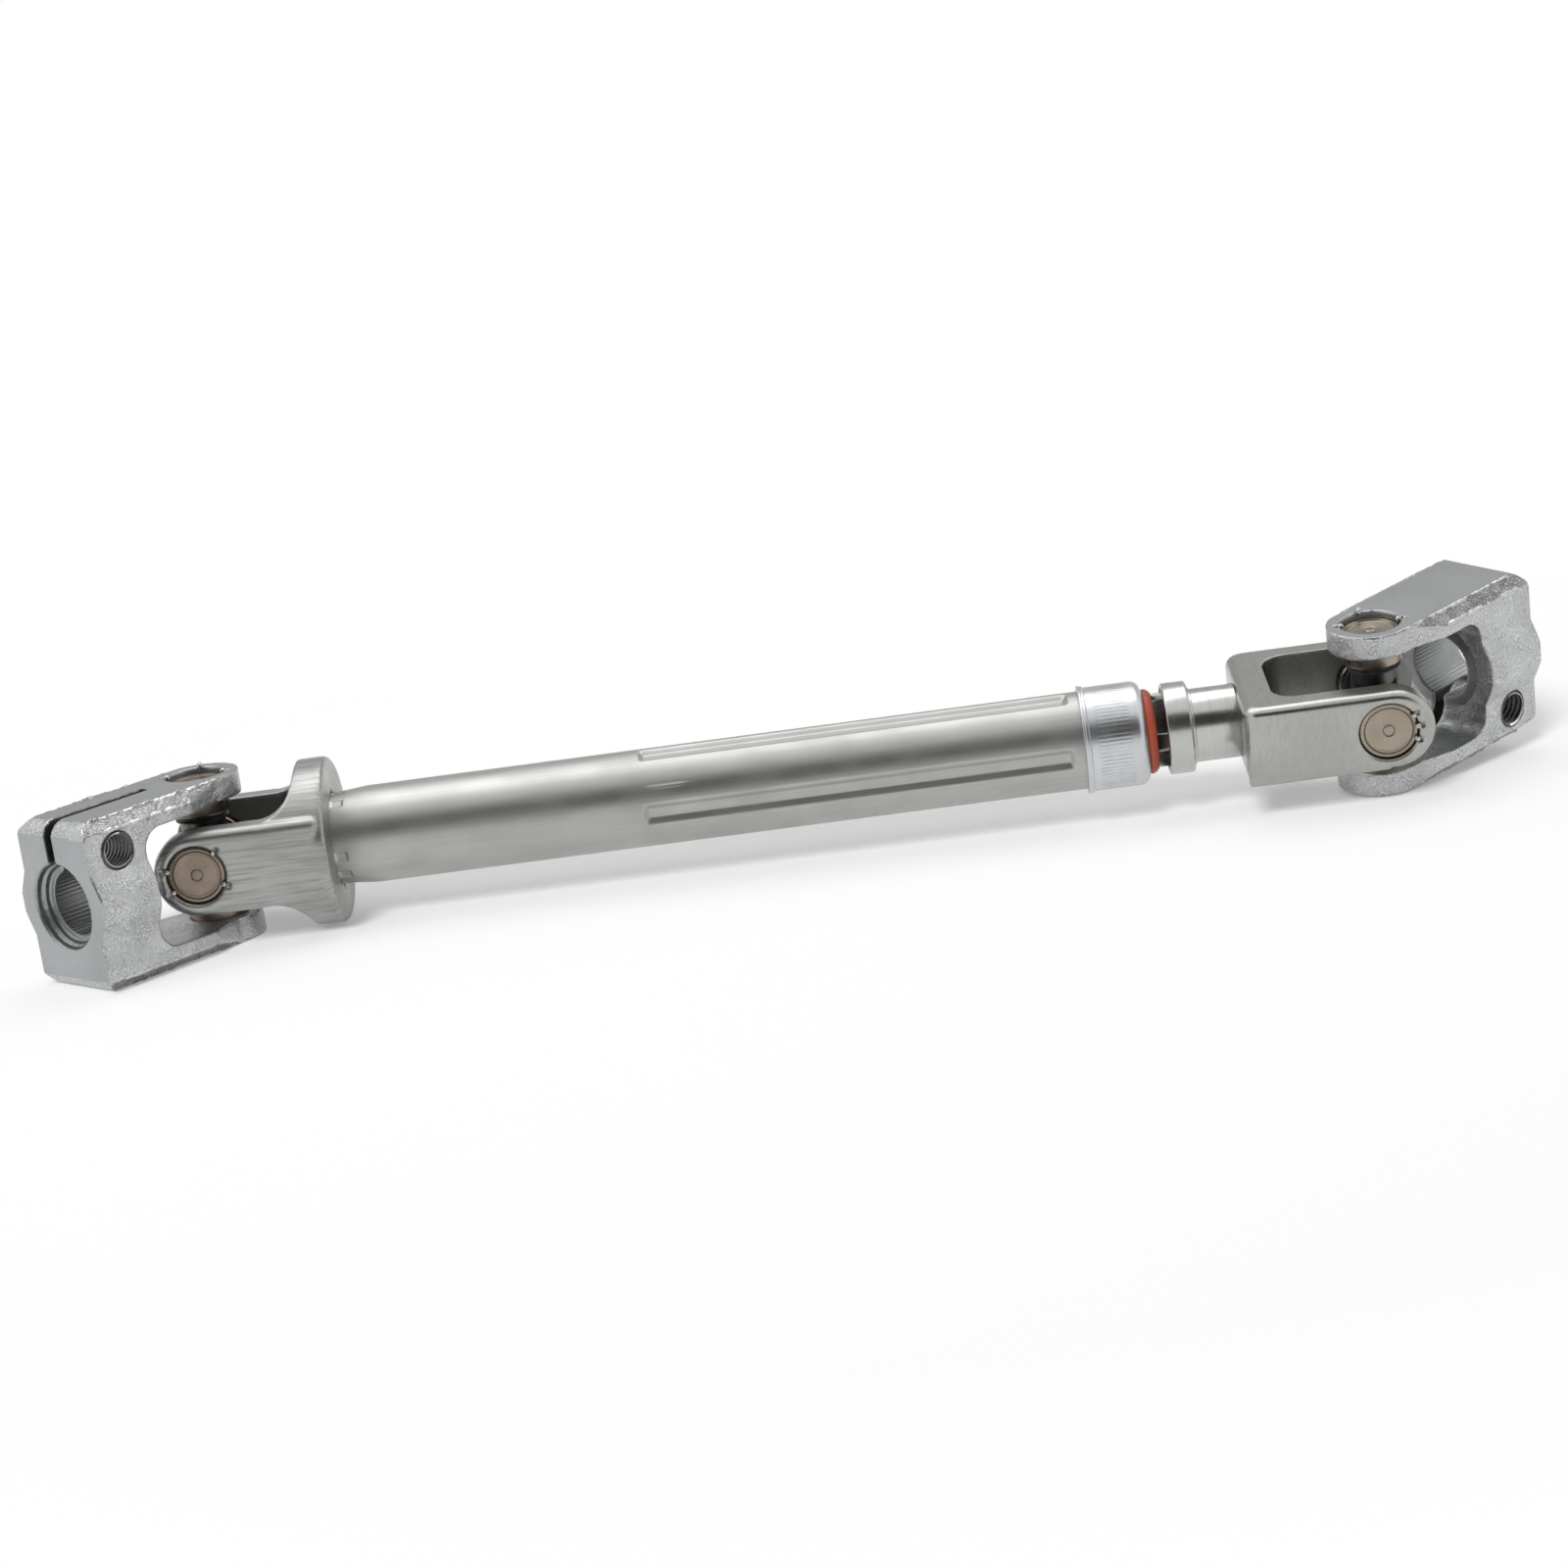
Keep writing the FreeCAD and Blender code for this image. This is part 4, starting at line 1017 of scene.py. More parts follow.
    def surface(self, point: Vector, normal: Vector) -> Skin:
        """Tell which surface a spot belongs to.

        Args:
            point: The spot, in the yoke's axes.
            normal: The way it faces.

        Returns:
            The surface.
        """
        from_bore = math.hypot(point.y, point.z)
        on_face = abs(point.z) > self.face - self.snap and abs(point.y) < self.flat_half - 0.2 * MM
        if on_face and abs(normal.z) > 0.8 or point.x > self.reach - self.snap and normal.x > 0.8:
            return Skin.MACHINED
        if point.x > self.root - 0.6 * MM and from_bore < self.mouth + 0.2 * MM:
            return Skin.BORED
        # The slit's walls take the near-black painted shade.
        in_slit = -self.slit_width - 0.15 * MM < point.y < 0.15 * MM
        if in_slit and point.x > self.slit_start - 0.3 * MM and point.z > self.bore and abs(normal.z) < 0.8:
            return Skin.SLIT_SHADE
        if math.hypot(point.x, point.y) < self.cup_bore and abs(point.z) > self.cup_floor:
            return Skin.BORED
        # A bead's crest takes the bright burr finish as a painted highlight.
        if self.near_bead(point):
            return Skin.PAINTED_CREST
        on_bevel = abs(point.z) > self.face - self.bevel_drop - 0.5 * MM
        if on_bevel and min(abs(normal.y), abs(normal.z)) > 0.35 and point.x < self.reach - 0.6 * MM:
            return Skin.BURRED
        return Skin.CAST

    def mesh(self) -> Mesh:
        """The yoke's solid with worn edges, casting burrs, a rough skin and flat machined faces."""
        bm = solid_copy(f"{self.end.word}_clamp_yoke", self.end.clamp)
        bm = reskinned(bm, self.cutters(), self.beads(), self.voxel, 1)
        self.roughen(bm)
        bm.normal_update()
        order = list(Skin)
        for face in bm.faces:
            face.material_index = order.index(self.surface(face.calc_center_median(), face.normal))
        return bm

    def roughen(self, bm: Mesh) -> None:
        """Raise the cast skin unevenly and keep the machined faces flat.

        Args:
            bm: The yoke.
        """
        for vert in bm.verts:
            skin = self.surface(vert.co, vert.normal)
            if skin is Skin.MACHINED and abs(vert.normal.z) > 0.8:
                vert.co.z = math.copysign(self.face, vert.co.z)
            elif skin is Skin.MACHINED:
                vert.co.x = self.reach
            elif skin in (Skin.CAST, Skin.BURRED, Skin.PAINTED_CREST):
                swell = noise.noise(vert.co * 110.0) * 0.10 * MM
                grit = noise.noise(vert.co * 650.0) * 0.06 * MM
                vert.co += vert.normal * (swell + grit)

    def thread_mesh(self) -> Mesh:
        """Cut thread of the pinch bolt's hole: one tooth swept as a helix, trimmed and given a wall."""
        first = 0.1 * MM
        last = self.block_half - 0.05 * MM
        pitch = self.thread_pitch
        turns = math.ceil((last - first) / pitch) + 2
        bm = bmesh.new()
        start = first - pitch
        profile = (
            (start, self.thread_major),
            (start + 0.34 * pitch, self.thread_minor),
            (start + 0.66 * pitch, self.thread_minor),
            (start + pitch, self.thread_major),
        )
        strip = closed_strip(bm, profile, closed=False)
        bmesh.ops.spin(
            bm, geom=strip, cent=(0.0, 0.0, 0.0), axis=(1.0, 0.0, 0.0),
            dvec=(pitch / self.thread_step, 0.0, 0.0), angle=FULL_TURN * turns,
            steps=self.thread_step * turns, use_merge=False,
        )
        bmesh.ops.remove_doubles(bm, verts=bm.verts[:], dist=0.01 * MM)
        for place, way in ((first, -1.0), (last, 1.0)):
            bmesh.ops.bisect_plane(
                bm, geom=[*bm.verts, *bm.edges, *bm.faces], dist=WELD, plane_co=(place, 0.0, 0.0),
                plane_no=(way, 0.0, 0.0), clear_outer=True,
            )
        bmesh.ops.recalc_face_normals(bm, faces=bm.faces[:])
        outward = sum(f.normal.dot(Vector((0.0, *f.calc_center_median().yz))) > 0.0 for f in bm.faces)
        if outward > len(bm.faces) / 2:
            bmesh.ops.reverse_faces(bm, faces=bm.faces[:])
        bmesh.ops.solidify(bm, geom=bm.faces[:], thickness=self.thread_wall)
        # Faces at the crests, near the minor radius, take the painted highlight; the flanks and roots take the
        # painted shade.
        for flank in bm.faces:
            spot = flank.calc_center_median()
            flank.material_index = int(math.hypot(spot.y, spot.z) < self.thread_minor + 0.3 * MM)
        return bm

    def teeth_mesh(self) -> Mesh:
        """Serrations of the bore, open at the slit."""
        margin = math.radians(0.7)
        opening = math.asin(self.slit_width / self.bore) + margin
        back = self.bore + self.tooth_wall
        start = self.root + 0.3 * MM
        end = self.reach - self.ring_depth - 0.15 * MM
        bm = bmesh.new()
        profile = ((start, self.bore), (end, self.bore), (end, back), (start, back))
        points = [bm.verts.new((along, 0.0, away)) for along, away in profile]
        first = bm.faces.new(points)
        bmesh.ops.rotate(bm, verts=points, cent=(0.0, 0.0, 0.0), matrix=Matrix.Rotation(opening, 3, "X"))
        bmesh.ops.spin(
            bm, geom=[first, *first.edges, *first.verts], cent=(0.0, 0.0, 0.0), axis=(1.0, 0.0, 0.0),
            dvec=(0.0, 0.0, 0.0), angle=FULL_TURN - opening - margin,
            steps=self.teeth * self.tooth_steps, use_merge=False,
        )
        for vert in bm.verts:
            away = math.hypot(vert.co.y, vert.co.z)
            if away < (self.bore + back) / 2:
                turn = math.atan2(vert.co.z, vert.co.y) / FULL_TURN * self.teeth
                height = self.tooth_height * (0.5 + 0.5 * math.cos(turn * FULL_TURN))
                vert.co.yz = vert.co.yz * ((self.bore - height) / away)
        bmesh.ops.recalc_face_normals(bm, faces=bm.faces[:])
        return bm

    def dress(self) -> None:
        """Lay the yoke with its thread and its serrations."""
        end, body, place = self.end.word, self.end.clamp_body, self.end.clamp.value
        Piece(
            f"{end}_clamp_casting", self.mesh(), place, body, "cast_steel",
            [skin.value for skin in Skin], [f"{end}_clamp_yoke"], crease=50.0,
        ).lay()
        along = self.reach - self.pinch_inset
        across = axes_at((along, 0.0, self.pinch_height), (0.0, 1.0, 0.0), (0.0, 0.0, 1.0))
        Piece(
            f"{end}_pinch_thread", self.thread_mesh(), place @ across, body, "cast_steel",
            [Finish.THREAD, Finish.PAINTED_CREST],
        ).lay()
        Piece(f"{end}_bore_teeth", self.teeth_mesh(), place, body, "cast_steel", [Finish.BORED]).lay()


@dataclass(frozen=True)
class Filler:
    """A block that sharpens or fills a spot on both ears of a fork before its skin is made."""

    centre: Vector
    size: Vector
    rounding: float = 0.0
    taper: float = 1.0

    def add(self, bm: Mesh) -> None:
        """Add both blocks, with their edges rounded or their tops drawn in.

        Args:
            bm: The mesh that takes them.
        """
        for side in SIDES:
            centre = Vector((self.centre.x, side * self.centre.y, self.centre.z))
            spot = Matrix.Translation(centre) @ Matrix.Diagonal((*self.size, 1.0))
            verts = bmesh.ops.create_cube(bm, size=1.0, matrix=spot)["verts"]
            for vert in verts:
                if vert.co.z > centre.z:
                    vert.co.xy = centre.xy + (vert.co.xy - centre.xy) * self.taper
            if self.rounding:
                bevel(bm, [edge for edge in bm.edges if edge.verts[0] in verts], self.rounding, 6)


@dataclass(frozen=True)
class Relief:
    """A short round pocket along X in a fork."""

    centre: Vector
    radius: float
    length: float = 5.0 * MM


@dataclass
class InnerFork:
    """Forged fork on the tube or on the shaft."""

    end: End
    node: str
    finish: Finish
    reliefs: Sequence[Relief] = ()
    fillers: Sequence[Filler] = ()
    ear_face: float = 22.4 * MM
    ear_thickness: float = 7.6 * MM
    voxel: float = 0.44 * MM
    wear: float = 0.05 * MM

    def cutters(self) -> Mesh:
        """Notches of the punch marks, and the reliefs round the tube or the shaft."""
        bm = bmesh.new()
        for side in (Side.FRONT, Side.REAR):
            for stake in stakes(self.end, side):
                stake.add_notch(bm, side.axes(), self.ear_face)
        for relief in self.reliefs:
            add_rod(bm, relief.centre, "Y", relief.radius, relief.length, 24)
        return bm

    def dress(self) -> None:
        """Lay the fork."""
        added = bmesh.new()
        for filler in self.fillers:
            filler.add(added)
        bm = reskinned(solid_copy(self.node, self.end.fork), self.cutters(), added, self.voxel, 2)
        for vert in bm.verts:
            vert.co += vert.normal * noise.noise(vert.co * 130.0) * self.wear
        # Ear faces that look into the fork take the darker finish as painted shade.
        inside = self.ear_face - self.ear_thickness + 0.3 * MM
        for skin in bm.faces:
            spot = skin.calc_center_median()
            facing_in = skin.normal.y * spot.y < 0.0 and abs(skin.normal.y) > 0.5
            skin.material_index = int(facing_in and abs(spot.y) < inside)
        Piece(
            f"{self.node}_forging", bm, self.end.fork.value, self.end.fork_body, "forged_steel",
            [self.finish, Finish.SHADED], [self.node], crease=50.0,
        ).lay()


@dataclass
class SlideTube:
    """Drawn tube with four pressed flutes, a drawn-in neck and the dents that hold it in its yoke."""

    turn: float = math.radians(8.0)
    flute_angles: tuple[float, ...] = (0.0, 83.0, 180.0, 263.0)
    start: float = 29.0 * MM
    neck_end: float = 38.0 * MM
    cone_end: float = 46.0 * MM
    end: float = 255.8 * MM
    radius: float = 13.35 * MM
    neck_radius: float = 12.65 * MM
    wall: float = 2.75 * MM
    flute_start: float = 121.0 * MM
    flute_end: float = 239.0 * MM
    half_rim: float = 3.2 * MM
    half_floor: float = 1.35 * MM
    depth: float = 1.35 * MM
    slope: float = 1.8 * MM
    steps: int = 320
    dent_angles: tuple[float, ...] = (-11.0, -39.0, -67.0, 61.0, 89.0)
    dent_start: float = 36.3 * MM
    dent_length: float = 3.6 * MM
    dent_half: float = 1.6 * MM
    dent_edge: float = 0.5 * MM
    dent_depth: float = 0.24 * MM
    ridge_angle: float = math.radians(32.0)
    ridge_start: float = 122.0 * MM
    ridge_length: float = 13.0 * MM
    ridge_half: float = 0.7 * MM
    ridge_height: float = 0.16 * MM
    fine: float = 0.3 * MM
    coarse: float = 4.0 * MM

    def flute(self, along: float, angle: float) -> float:
        """Find how far the nearest flute is pressed in at a spot.

        Args:
            along: Place along the tube.
            angle: Angle round the tube from the first flute, in radians.

        Returns:
            The depth.
        """
        nearest = min((turn_from(angle, math.radians(middle)) for middle in self.flute_angles), key=abs)
        across = abs(math.sin(nearest)) * self.radius
        if across > self.half_rim:
            return 0.0
        sides = ramp((self.half_rim - across) / (self.half_rim - self.half_floor))
        ends = ramp(min(along - self.flute_start, self.flute_end - along) / self.slope)
        flat = self.radius * (1.0 - math.cos(nearest)) * sides
        return (self.depth - flat) * sides * ends

    def ridge(self, along: float, angle: float) -> float:
        """Find the height of the faint pinched ridge beside the start of each flute.

        Args:
            along: Place along the tube.
            angle: Angle round the tube from the first flute, in radians.

        Returns:
            The height.
        """
        across = abs(angle % QUARTER_TURN - self.ridge_angle) * self.radius
        run = min(along - self.ridge_start, self.ridge_start + self.ridge_length - along) / (3.0 * MM)
        return self.ridge_height * ramp(1.0 - across / self.ridge_half) * ramp(run)

    def dent(self, along: float, angle: float) -> float:
        """Find the depth of the dents beside the flange at a spot.

        Args:
            along: Place along the tube.
            angle: Angle round the tube from the front, in radians.

        Returns:
            The depth.
        """
        run = min(along - self.dent_start, self.dent_start + self.dent_length - along)
        if run <= 0.0:
            return 0.0
        middles = (math.radians(middle + half) for middle in self.dent_angles for half in (0.0, 180.0))
        nearest = min(abs(turn_from(angle, middle)) for middle in middles)
        sides = ramp((self.dent_half - nearest * self.radius) / self.dent_edge)
        return self.dent_depth * sides * ramp(run / self.dent_edge)

    def skin_radius(self, along: float) -> float:
        """The tube's outside radius before anything is pressed in."""
        run = ramp((along - self.neck_end) / (self.cone_end - self.neck_end))
        return self.neck_radius + (self.radius - self.neck_radius) * run

    def mesh(self) -> Mesh:
        """The tube as a turned shape whose outer skin is then pressed in."""
        bore, neck_bore = self.radius - self.wall, self.neck_radius - self.wall
        fine, coarse = self.fine, self.coarse
        stretches = (
            (self.dent_start, 2.0 * MM),
            (self.dent_start + self.dent_length + fine, 0.25 * MM),
            (self.cone_end, 0.8 * MM),
            (self.flute_start - fine, coarse),
            (self.flute_start + self.slope + fine, fine),
            (self.flute_start + self.ridge_length + 2.0 * MM, 1.0 * MM),
            (self.flute_end - self.slope - fine, coarse),
            (self.flute_end + fine, fine),
            (self.end, coarse),
        )
        outer = [(place, self.skin_radius(place)) for place in stations(stretches, self.start)]
        inner = [(self.end, bore), (self.cone_end, bore), (self.neck_end, neck_bore)]
        bm = spun([*outer, *inner, (self.start, neck_bore)], self.steps)
        for vert in bm.verts:
            away = math.hypot(vert.co.y, vert.co.z)
            if away < self.neck_radius - 0.5 * MM:
                continue
            angle = math.atan2(vert.co.z, -vert.co.y)
            from_flute = angle + self.turn
            sink = self.flute(vert.co.x, from_flute) + self.dent(vert.co.x, angle)
            sink -= self.ridge(vert.co.x, from_flute)
            vert.co.yz = vert.co.yz * ((away - sink) / away)
        bmesh.ops.recalc_face_normals(bm, faces=bm.faces[:])
        return bm

    def dress(self) -> None:
        """Lay the tube."""
        Piece(
            "slide_tube", self.mesh(), Place.TUBE.value, Body.TUBE, "drawn_steel", [Finish.DRAWN],
            ["outer_tube"], crease=50.0,
        ).lay()
        dress("slide_sleeve", Finish.PLASTIC)


@dataclass
class SealHead:
    """Crimped sheet retainer with its red wiper seal."""

    start: float = 241.6 * MM
    end: float = 258.85 * MM
    tube_radius: float = 13.35 * MM
    sheet: float = 0.85 * MM
    shoulder: float = 2.9 * MM
    mouth: float = 11.15 * MM
    band_start: float = 245.2 * MM
    band_end: float = 254.6 * MM
    crimps: int = 80
    crimp_steps: int = 6
    crimp_depth: float = 0.04 * MM
    crimp_run: float = 0.8 * MM
    rim: Profile = (
        (0.0, 13.35), (0.0, 14.55), (0.25, 14.8), (0.65, 14.8), (0.85, 14.58), (1.05, 14.62),
        (1.40, 14.64), (1.70, 14.2),
    )
    wiper: Profile = (
        (-1.05, 10.15), (-1.05, 11.15), (0.0, 11.15), (0.15, 11.45), (0.55, 11.63), (1.1, 11.55),
        (1.7, 11.25), (2.25, 10.75), (2.5, 10.45), (2.5, 10.25), (2.2, 10.15),
    )

    def retainer_mesh(self) -> Mesh:
        """Retainer with a rolled double rim, a crimped band and a round shoulder."""
        band = self.tube_radius + self.sheet
        places = stations(((self.band_start, 1.0 * MM),), self.start + 2.0 * MM)
        places += stations(((self.band_end, 0.35 * MM),), self.band_start + 0.1 * MM)
        knee = self.end - self.shoulder
        outer_turns = (QUARTER_TURN * index / 10 for index in range(11))
        outer = [
            *outline(self.start, self.rim),
            *((place, band) for place in places),
            *(
                (knee + self.shoulder * math.sin(turn), band - self.shoulder * (1.0 - math.cos(turn)))
                for turn in outer_turns
            ),
        ]
        face = [(self.end, self.mouth + 0.2 * MM), (self.end - 0.2 * MM, self.mouth)]
        inner_knee = self.shoulder - self.sheet
        inner_end = self.end - self.sheet
        inner_turns = (QUARTER_TURN * index / 5 for index in range(6))
        inner = [(inner_end, self.mouth)] + [
            (
                inner_end - inner_knee * (1.0 - math.cos(turn)),
                self.tube_radius - inner_knee * (1.0 - math.sin(turn)),
            )
            for turn in inner_turns
        ]
        bm = spun([*outer, *face, *inner], self.crimps * self.crimp_steps)
        for vert in bm.verts:
            away = math.hypot(vert.co.y, vert.co.z)
            if away < band - 0.1 * MM or not self.band_start < vert.co.x < self.band_end:
                continue
            turn = math.atan2(vert.co.z, vert.co.y)
            ends = min(vert.co.x - self.band_start, self.band_end - vert.co.x) / self.crimp_run
            uneven = 0.6 + 0.4 * noise.noise(Vector((turn * 6.0, vert.co.x * 200.0, 3.0)))
            wave = 0.5 + 0.5 * math.cos(turn * self.crimps)
            vert.co.yz = vert.co.yz * (1.0 - self.crimp_depth * wave * uneven * ramp(ends) / away)
        # Faces on the crimped band take the finish with the painted shade in its grooves.
        for skin in bm.faces:
            spot = skin.calc_center_median()
            on_band = self.band_start < spot.x < self.band_end
            skin.material_index = int(on_band and math.hypot(spot.y, spot.z) > self.tube_radius + 0.2 * MM)
        return bm

    def seal_mesh(self) -> Mesh:
        """Wiper ring that tapers towards the shaft, with a rounded lip."""
        bm = spun(outline(self.end, self.wiper), 160)
        ease_edges(bm, 0.08 * MM)
        return bm

    def dress(self) -> None:
        """Lay both pieces."""
        place = Place.TUBE.value
        Piece(
            "crimped_retainer", self.retainer_mesh(), place, Body.TUBE, "zinc_sheet",
            [Finish.SHEET, Finish.CRIMPED], ["seal_retainer"], crease=50.0,
        ).lay()
        Piece(
            "wiper_ring", self.seal_mesh(), place, Body.TUBE, "seal_rubber", [Finish.RED], ["wiper_seal"]
        ).lay()


@dataclass
class SlideShaft:
    """Sliding shaft with its collar, and the burrs where it is staked in its yoke."""

    collar_start: float = 264.2 * MM
    groove_end: float = 266.65 * MM
    yoke_back: float = 283.8 * MM
    shaft_radius: float = 10.05 * MM
    steps: int = 160
    burr_angles: tuple[float, ...] = (38.0, 4.0, -24.0, -60.0, 120.0, 170.0, 215.0)
    burr_size: Vector = mm(0.4, 0.9, 0.35)
    burr_grain: float = 1700.0
    burr_shake: float = 0.2 * MM
    collar: Profile = (
        (2.4, 10.05), (2.4, 11.4), (0.1, 11.4), (0.0, 11.55), (0.0, 12.0), (0.4, 12.5),
        (6.3, 12.5), (6.85, 12.05), (6.85, 10.6), (7.5, 10.5), (7.6, 10.3), (7.6, 10.05),
    )
    journal: Profile = (
        (266.65, 0.0), (266.65, 10.05), (283.8, 10.05), (283.8, 8.6), (293.0, 8.6), (293.0, 0.0),
    )

    def collar_mesh(self) -> Mesh:
        """Turned ring, hollow on the seal's side, with a thin hub on the other."""
        bm = spun(outline(self.collar_start, self.collar), self.steps)
        ease_edges(bm, 0.1 * MM)
        return bm

    def grooved_mesh(self) -> Mesh:
        """The shaft's solid up to where its grooves end inside the collar."""
        bm = solid_copy("inner_shaft", Place.TUBE)
        bmesh.ops.bisect_plane(
            bm, geom=[*bm.verts, *bm.edges, *bm.faces], dist=WELD, plane_co=(self.groove_end, 0.0, 0.0),
            plane_no=(1.0, 0.0, 0.0), clear_outer=True,
        )
        bmesh.ops.holes_fill(bm, edges=[edge for edge in bm.edges if edge.is_boundary])
        return bm

    def journal_mesh(self) -> Mesh:
        """The turned stretch from the collar to the yoke, with the seat inside the yoke."""
        bm = spun(outline(0.0, self.journal), self.steps, closed=False)
        ease_edges(bm, 0.15 * MM)
        return bm

    def burr_mesh(self) -> Mesh:
        """Small burrs round the shaft at the back of its yoke."""
        bm = bmesh.new()
        for number, degrees in enumerate(self.burr_angles):
            turn = Matrix.Rotation(math.radians(degrees) - QUARTER_TURN, 4, "X")
            spot = Matrix.Translation((self.yoke_back - 0.1 * MM, 0.0, self.shaft_radius + 0.15 * MM))
            flip = Matrix.Scale(-1.0, 4, (0.0, 1.0, 0.0)) if degrees > 90.0 else Matrix.Identity(4)
            spot = flip @ turn @ spot @ Matrix.Diagonal((*self.burr_size, 1.0))
            add_burr(bm, spot, number, self.burr_grain, self.burr_shake)
        bmesh.ops.recalc_face_normals(bm, faces=bm.faces[:])
        return bm

    def dress(self) -> None:
        """Lay the shaft, its collar and its burrs."""
        for name, bm, slot, finish, replaced, crease in (
            ("turned_collar", self.collar_mesh(), "turned_steel", Finish.TURNED, ["shaft_collar"], 40.0),
            ("shaft_burrs", self.burr_mesh(), "forged_steel", Finish.BURR_AND_HIGHLIGHT, [], 40.0),
            ("grooved_shaft", self.grooved_mesh(), "drawn_steel", Finish.SPLINED, ["inner_shaft"], 30.0),
            ("shaft_journal", self.journal_mesh(), "turned_steel", Finish.TURNED, [], 40.0),
        ):
            Piece(name, bm, Place.TUBE.value, Body.SHAFT, slot, [finish], replaced, crease).lay()


@dataclass(frozen=True)
class Card:
    """A panel beside the part that only its reflections show."""

    name: str
    place: Vector
    size: tuple[float, float]
    glow: float


class LampKind(Enum):
    """Kinds of lamp, as Blender names them."""

    PANEL = "AREA"
    FAR = "SUN"


@dataclass(frozen=True)
class Lamp:
    """A soft lamp that lights either the metal's gloss or the matt floor and rubber.

    The size is a panel's width and height, or a far lamp's angle in degrees, given twice.
    """

    name: str
    kind: LampKind
    place: Vector
    size: tuple[float, float]
    power: float
    on_metal: bool


@dataclass
class Studio:
    """Pale floor, soft lamps, reflected cards and the camera of the photograph."""

    lens: float = 80.82
    sensor: float = 36.0
    near_clip: float = 0.01
    camera_place: Vector = Vector((0.198947, -0.934964, 0.225017))
    yaw: float = 2.419
    dip: float = 13.597
    roll: float = 8.075
    floor_half: float = 6.0
    floor_colour: Colour = (0.97, 0.97, 0.97)
    glow_reach: tuple[float, float] = (0.35, 1.3)
    floor_glow: tuple[float, float] = (0.20, 0.48)
    sky: float = 0.34
    lamps: tuple[Lamp, ...] = (
        Lamp("overhead", LampKind.PANEL, Vector((-0.1, 0.28, 1.05)), (1.9, 0.70), 6.7, on_metal=True),
        Lamp("fill", LampKind.PANEL, Vector((-0.1, 0.1, 1.05)), (1.9, 0.70), 2.4, on_metal=False),
        Lamp("key", LampKind.FAR, Vector((-0.3, -1.0, 0.86)), (18.0, 18.0), 1.75, on_metal=False),
    )
    cards: tuple[Card, ...] = (
        Card("front_card", Vector((0.0, -1.11, 0.60)), (2.6, 1.0), 0.04),
        Card("back_card", Vector((0.0, 1.1, 0.62)), (2.6, 0.9), 0.54),
    )
    aim: Vector = Vector((0.0, 0.0, 0.02))

    def camera(self) -> None:
        """Stand the camera in the tube's axes, with its dip and its tilt."""
        turn = Matrix.Rotation(math.radians(self.yaw), 4, "Z") @ Matrix.Rotation(
            QUARTER_TURN - math.radians(self.dip), 4, "X"
        )
        tilt = Matrix.Rotation(-math.radians(self.roll), 4, "Z")
        data = bpy.data.cameras.new("camera")
        data.lens = self.lens
        data.sensor_width = self.sensor
        data.clip_start = self.near_clip
        camera = bpy.data.objects.new("camera", data)
        camera.matrix_world = Place.TUBE.value @ Matrix.Translation(self.camera_place) @ turn @ tilt
        bpy.context.scene.collection.objects.link(camera)
        bpy.context.scene.camera = camera

    def facing(self, place: Vector) -> Matrix:
        """The matrix of a lamp or card that faces the middle of the part."""
        look = (self.aim - place).to_track_quat("-Z", "Y")
        return Matrix.Translation(place) @ look.to_matrix().to_4x4()

    def floor(self) -> None:
        """A pale floor that keeps the shadows and is white everywhere else."""
        bm = bmesh.new()
        bmesh.ops.create_grid(bm, x_segments=1, y_segments=1, size=self.floor_half)
        floor = linked_object("floor", bm)
        graph = NodeGraph("floor_paint")
        away = graph.node("VectorMath", {"operation": "LENGTH"})
        graph.feed(away, 0, graph.node("TexCoord").outputs["Object"])
        glow = graph.remap(away.outputs["Value"], self.glow_reach, self.floor_glow)
        material = graph.finish(
            Base_Color=self.floor_colour, Roughness=1.0, Specular_IOR_Level=0.0, Emission_Color=UNIT,
            Emission_Strength=graph.math("MULTIPLY", glow, graph.seen()),
        )
        floor.data.materials.append(material)

    def hang_card(self, card: Card) -> None:
        """Hang one card where only reflections meet it.

        Args:
            card: The card.
        """
        bm = bmesh.new()
        bmesh.ops.create_grid(bm, x_segments=1, y_segments=1, size=0.5)
        spot = self.facing(card.place) @ Matrix.Diagonal((*card.size, 1.0, 1.0))
        bmesh.ops.transform(bm, matrix=spot, verts=bm.verts[:])
        panel = linked_object(card.name, bm)
        material = NodeGraph(card.name).finish(
            Base_Color=(0.0, 0.0, 0.0), Specular_IOR_Level=0.0, Emission_Color=UNIT,
            Emission_Strength=card.glow,
        )
        panel.data.materials.append(material)
        panel.visible_camera = False
        panel.visible_diffuse = False
        panel.visible_shadow = False
        panel.visible_transmission = False

    def world(self) -> None:
        """A soft sky that lights from all round and is white where it is seen."""
        world = bpy.data.worlds.new("sky")
        world.use_nodes = True
        tree = world.node_tree
        back = tree.nodes["Background"]
        path = tree.nodes.new("ShaderNodeLightPath")
        seen = path.outputs["Is Camera Ray"]
        for kind in ("Is Glossy Ray", "Is Transmission Ray"):
            either = tree.nodes.new("ShaderNodeMath")
            either.operation = "MAXIMUM"
            tree.links.new(seen, either.inputs[0])
            tree.links.new(path.outputs[kind], either.inputs[1])
            seen = either.outputs[0]
        strength = tree.nodes.new("ShaderNodeMapRange")
        strength.inputs["To Min"].default_value = self.sky
        tree.links.new(seen, strength.inputs["Value"])
        tree.links.new(strength.outputs["Result"], back.inputs["Strength"])
        back.inputs["Color"].default_value = (1.0, 1.0, 1.0, 1.0)
        bpy.context.scene.world = world

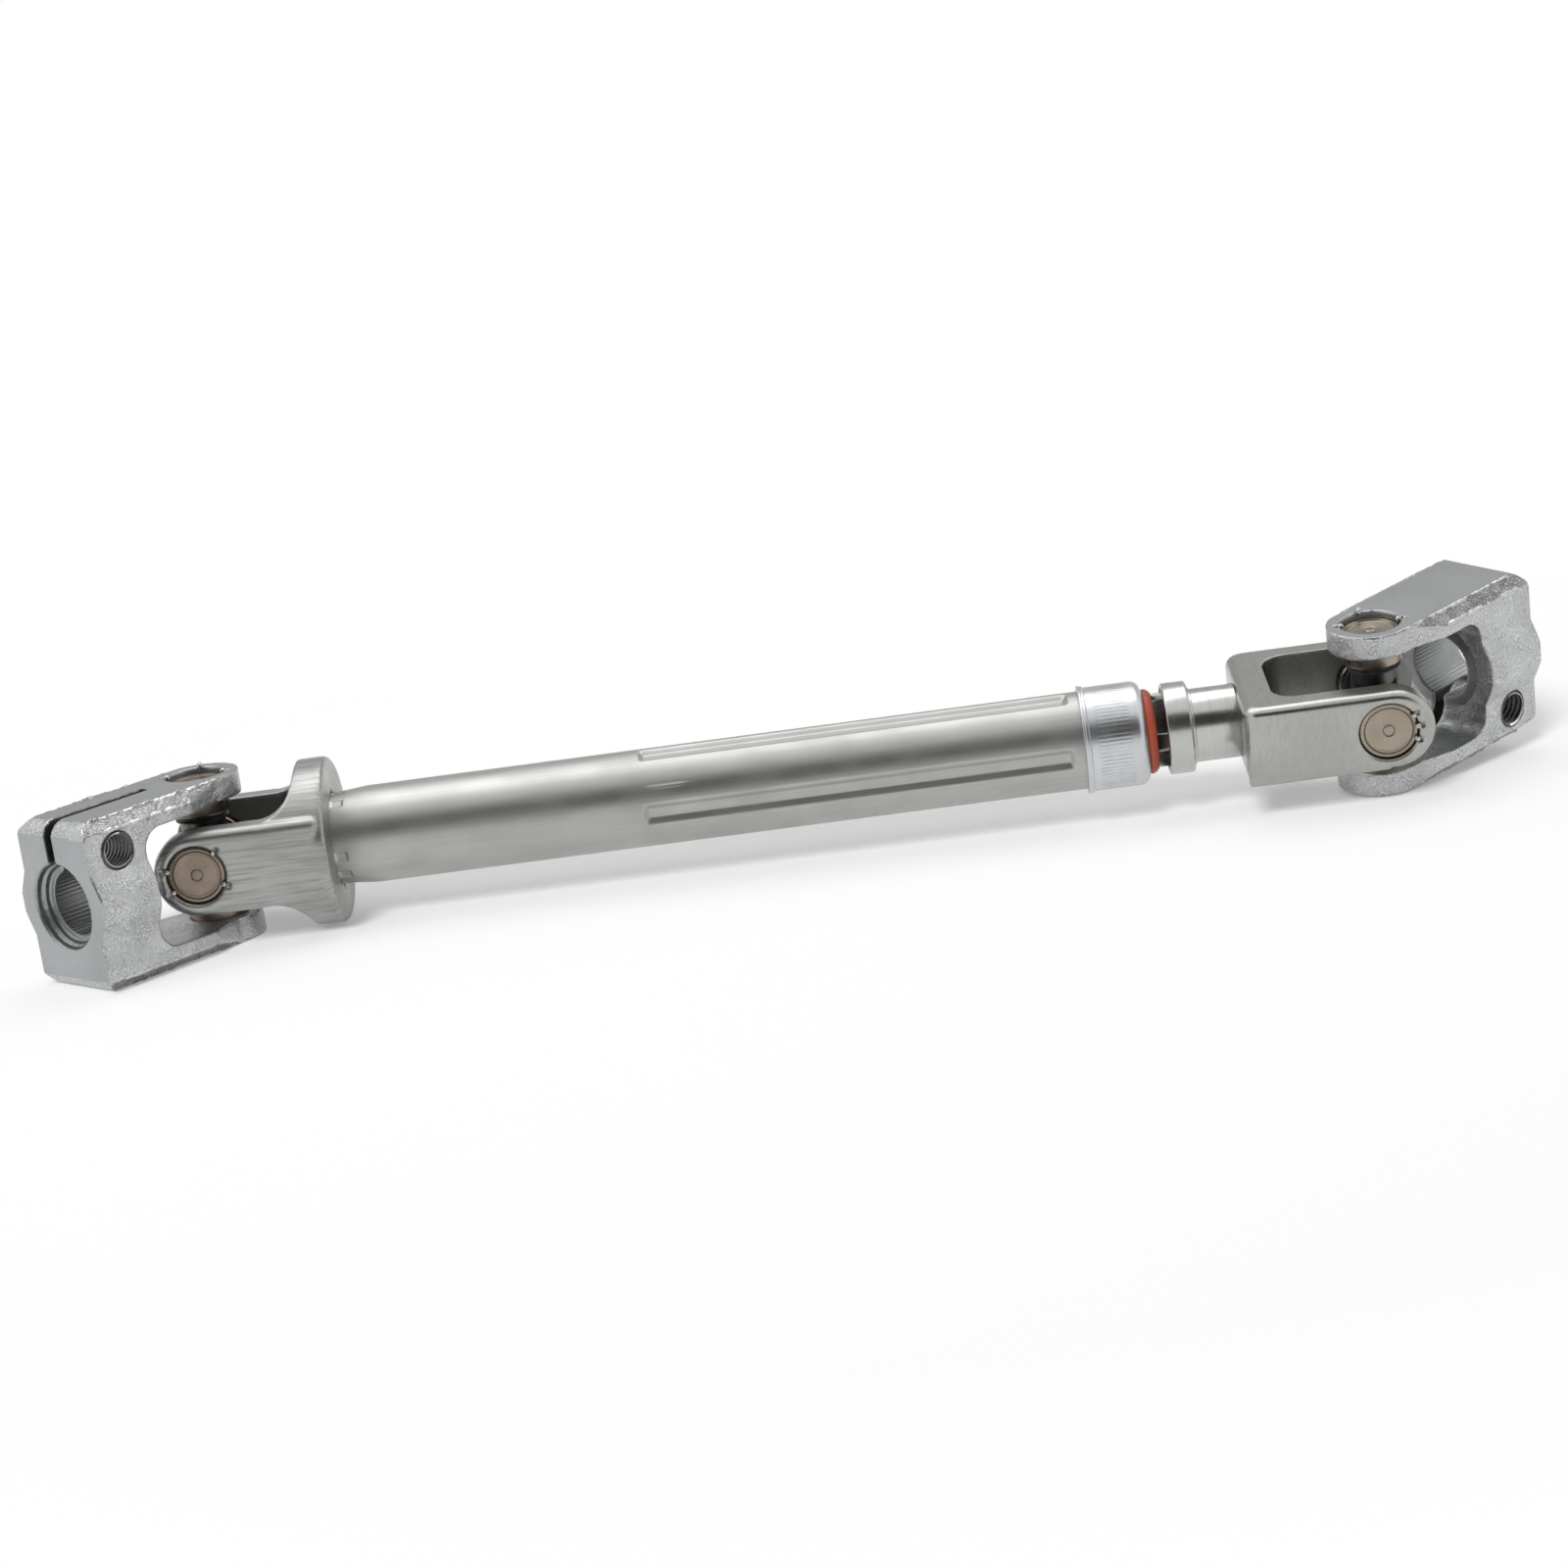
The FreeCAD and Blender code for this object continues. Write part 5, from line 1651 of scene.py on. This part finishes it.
    def hang_lamp(self, lamp: Lamp) -> None:
        """Hang one soft lamp.

        Args:
            lamp: The lamp.
        """
        data = bpy.data.lights.new(lamp.name, lamp.kind.value)
        data.energy = lamp.power
        if lamp.kind is LampKind.PANEL:
            data.shape = "RECTANGLE"
            data.size, data.size_y = lamp.size
        else:
            data.angle = math.radians(lamp.size[0])
        light = bpy.data.objects.new(lamp.name, data)
        light.matrix_world = self.facing(lamp.place)
        light.visible_camera = False
        light.visible_glossy = lamp.on_metal
        light.visible_diffuse = not lamp.on_metal
        bpy.context.scene.collection.objects.link(light)

    def build(self) -> None:
        """Set up the whole studio."""
        self.camera()
        self.floor()
        self.world()
        for lamp in self.lamps:
            self.hang_lamp(lamp)
        for card in self.cards:
            self.hang_card(card)
        bpy.context.scene.view_settings.view_transform = "Standard"


# Two pockets where the tube enters the flange, and the flat faces that run on over the flange.
TUBE_YOKE = InnerFork(
    End.LOWER, "tube_yoke", Finish.FORGED,
    reliefs=(Relief(mm(37.0, 0.0, 13.1), 0.9 * MM), Relief(mm(37.0, -3.0, -12.9), 0.8 * MM)),
    fillers=(Filler(mm(23.8, 19.0, 0.0), mm(22.0, 6.8, 23.2), rounding=2.6 * MM),),
)
# The square lower edges and back corners of the shaft's fork.
SHAFT_YOKE = InnerFork(
    End.UPPER, "shaft_yoke", Finish.BLANKED,
    fillers=(
        Filler(mm(-19.1, 20.8, -9.45), mm(37.6, 3.0, 3.0)),
        Filler(mm(-36.4, 20.8, -1.7), mm(3.0, 3.0, 18.5), taper=0.2),
    ),
)
ASSEMBLIES = (
    SlideTube(), SealHead(), SlideShaft(), TUBE_YOKE, SHAFT_YOKE, ClampYoke(End.LOWER),
    ClampYoke(End.UPPER, root=28.4 * MM), BearingKit(End.LOWER, Finish.LOWER_CUP),
    BearingKit(End.UPPER, Finish.UPPER_CUP),
)


def main() -> None:
    """Build the studio and then every sub-assembly in turn."""
    logging.basicConfig(level=logging.INFO, format="%(message)s")
    noise.seed_set(NOISE_SEED)
    Studio().build()
    for assembly in ASSEMBLIES:
        assembly.dress()


if __name__ == "__main__":
    main()
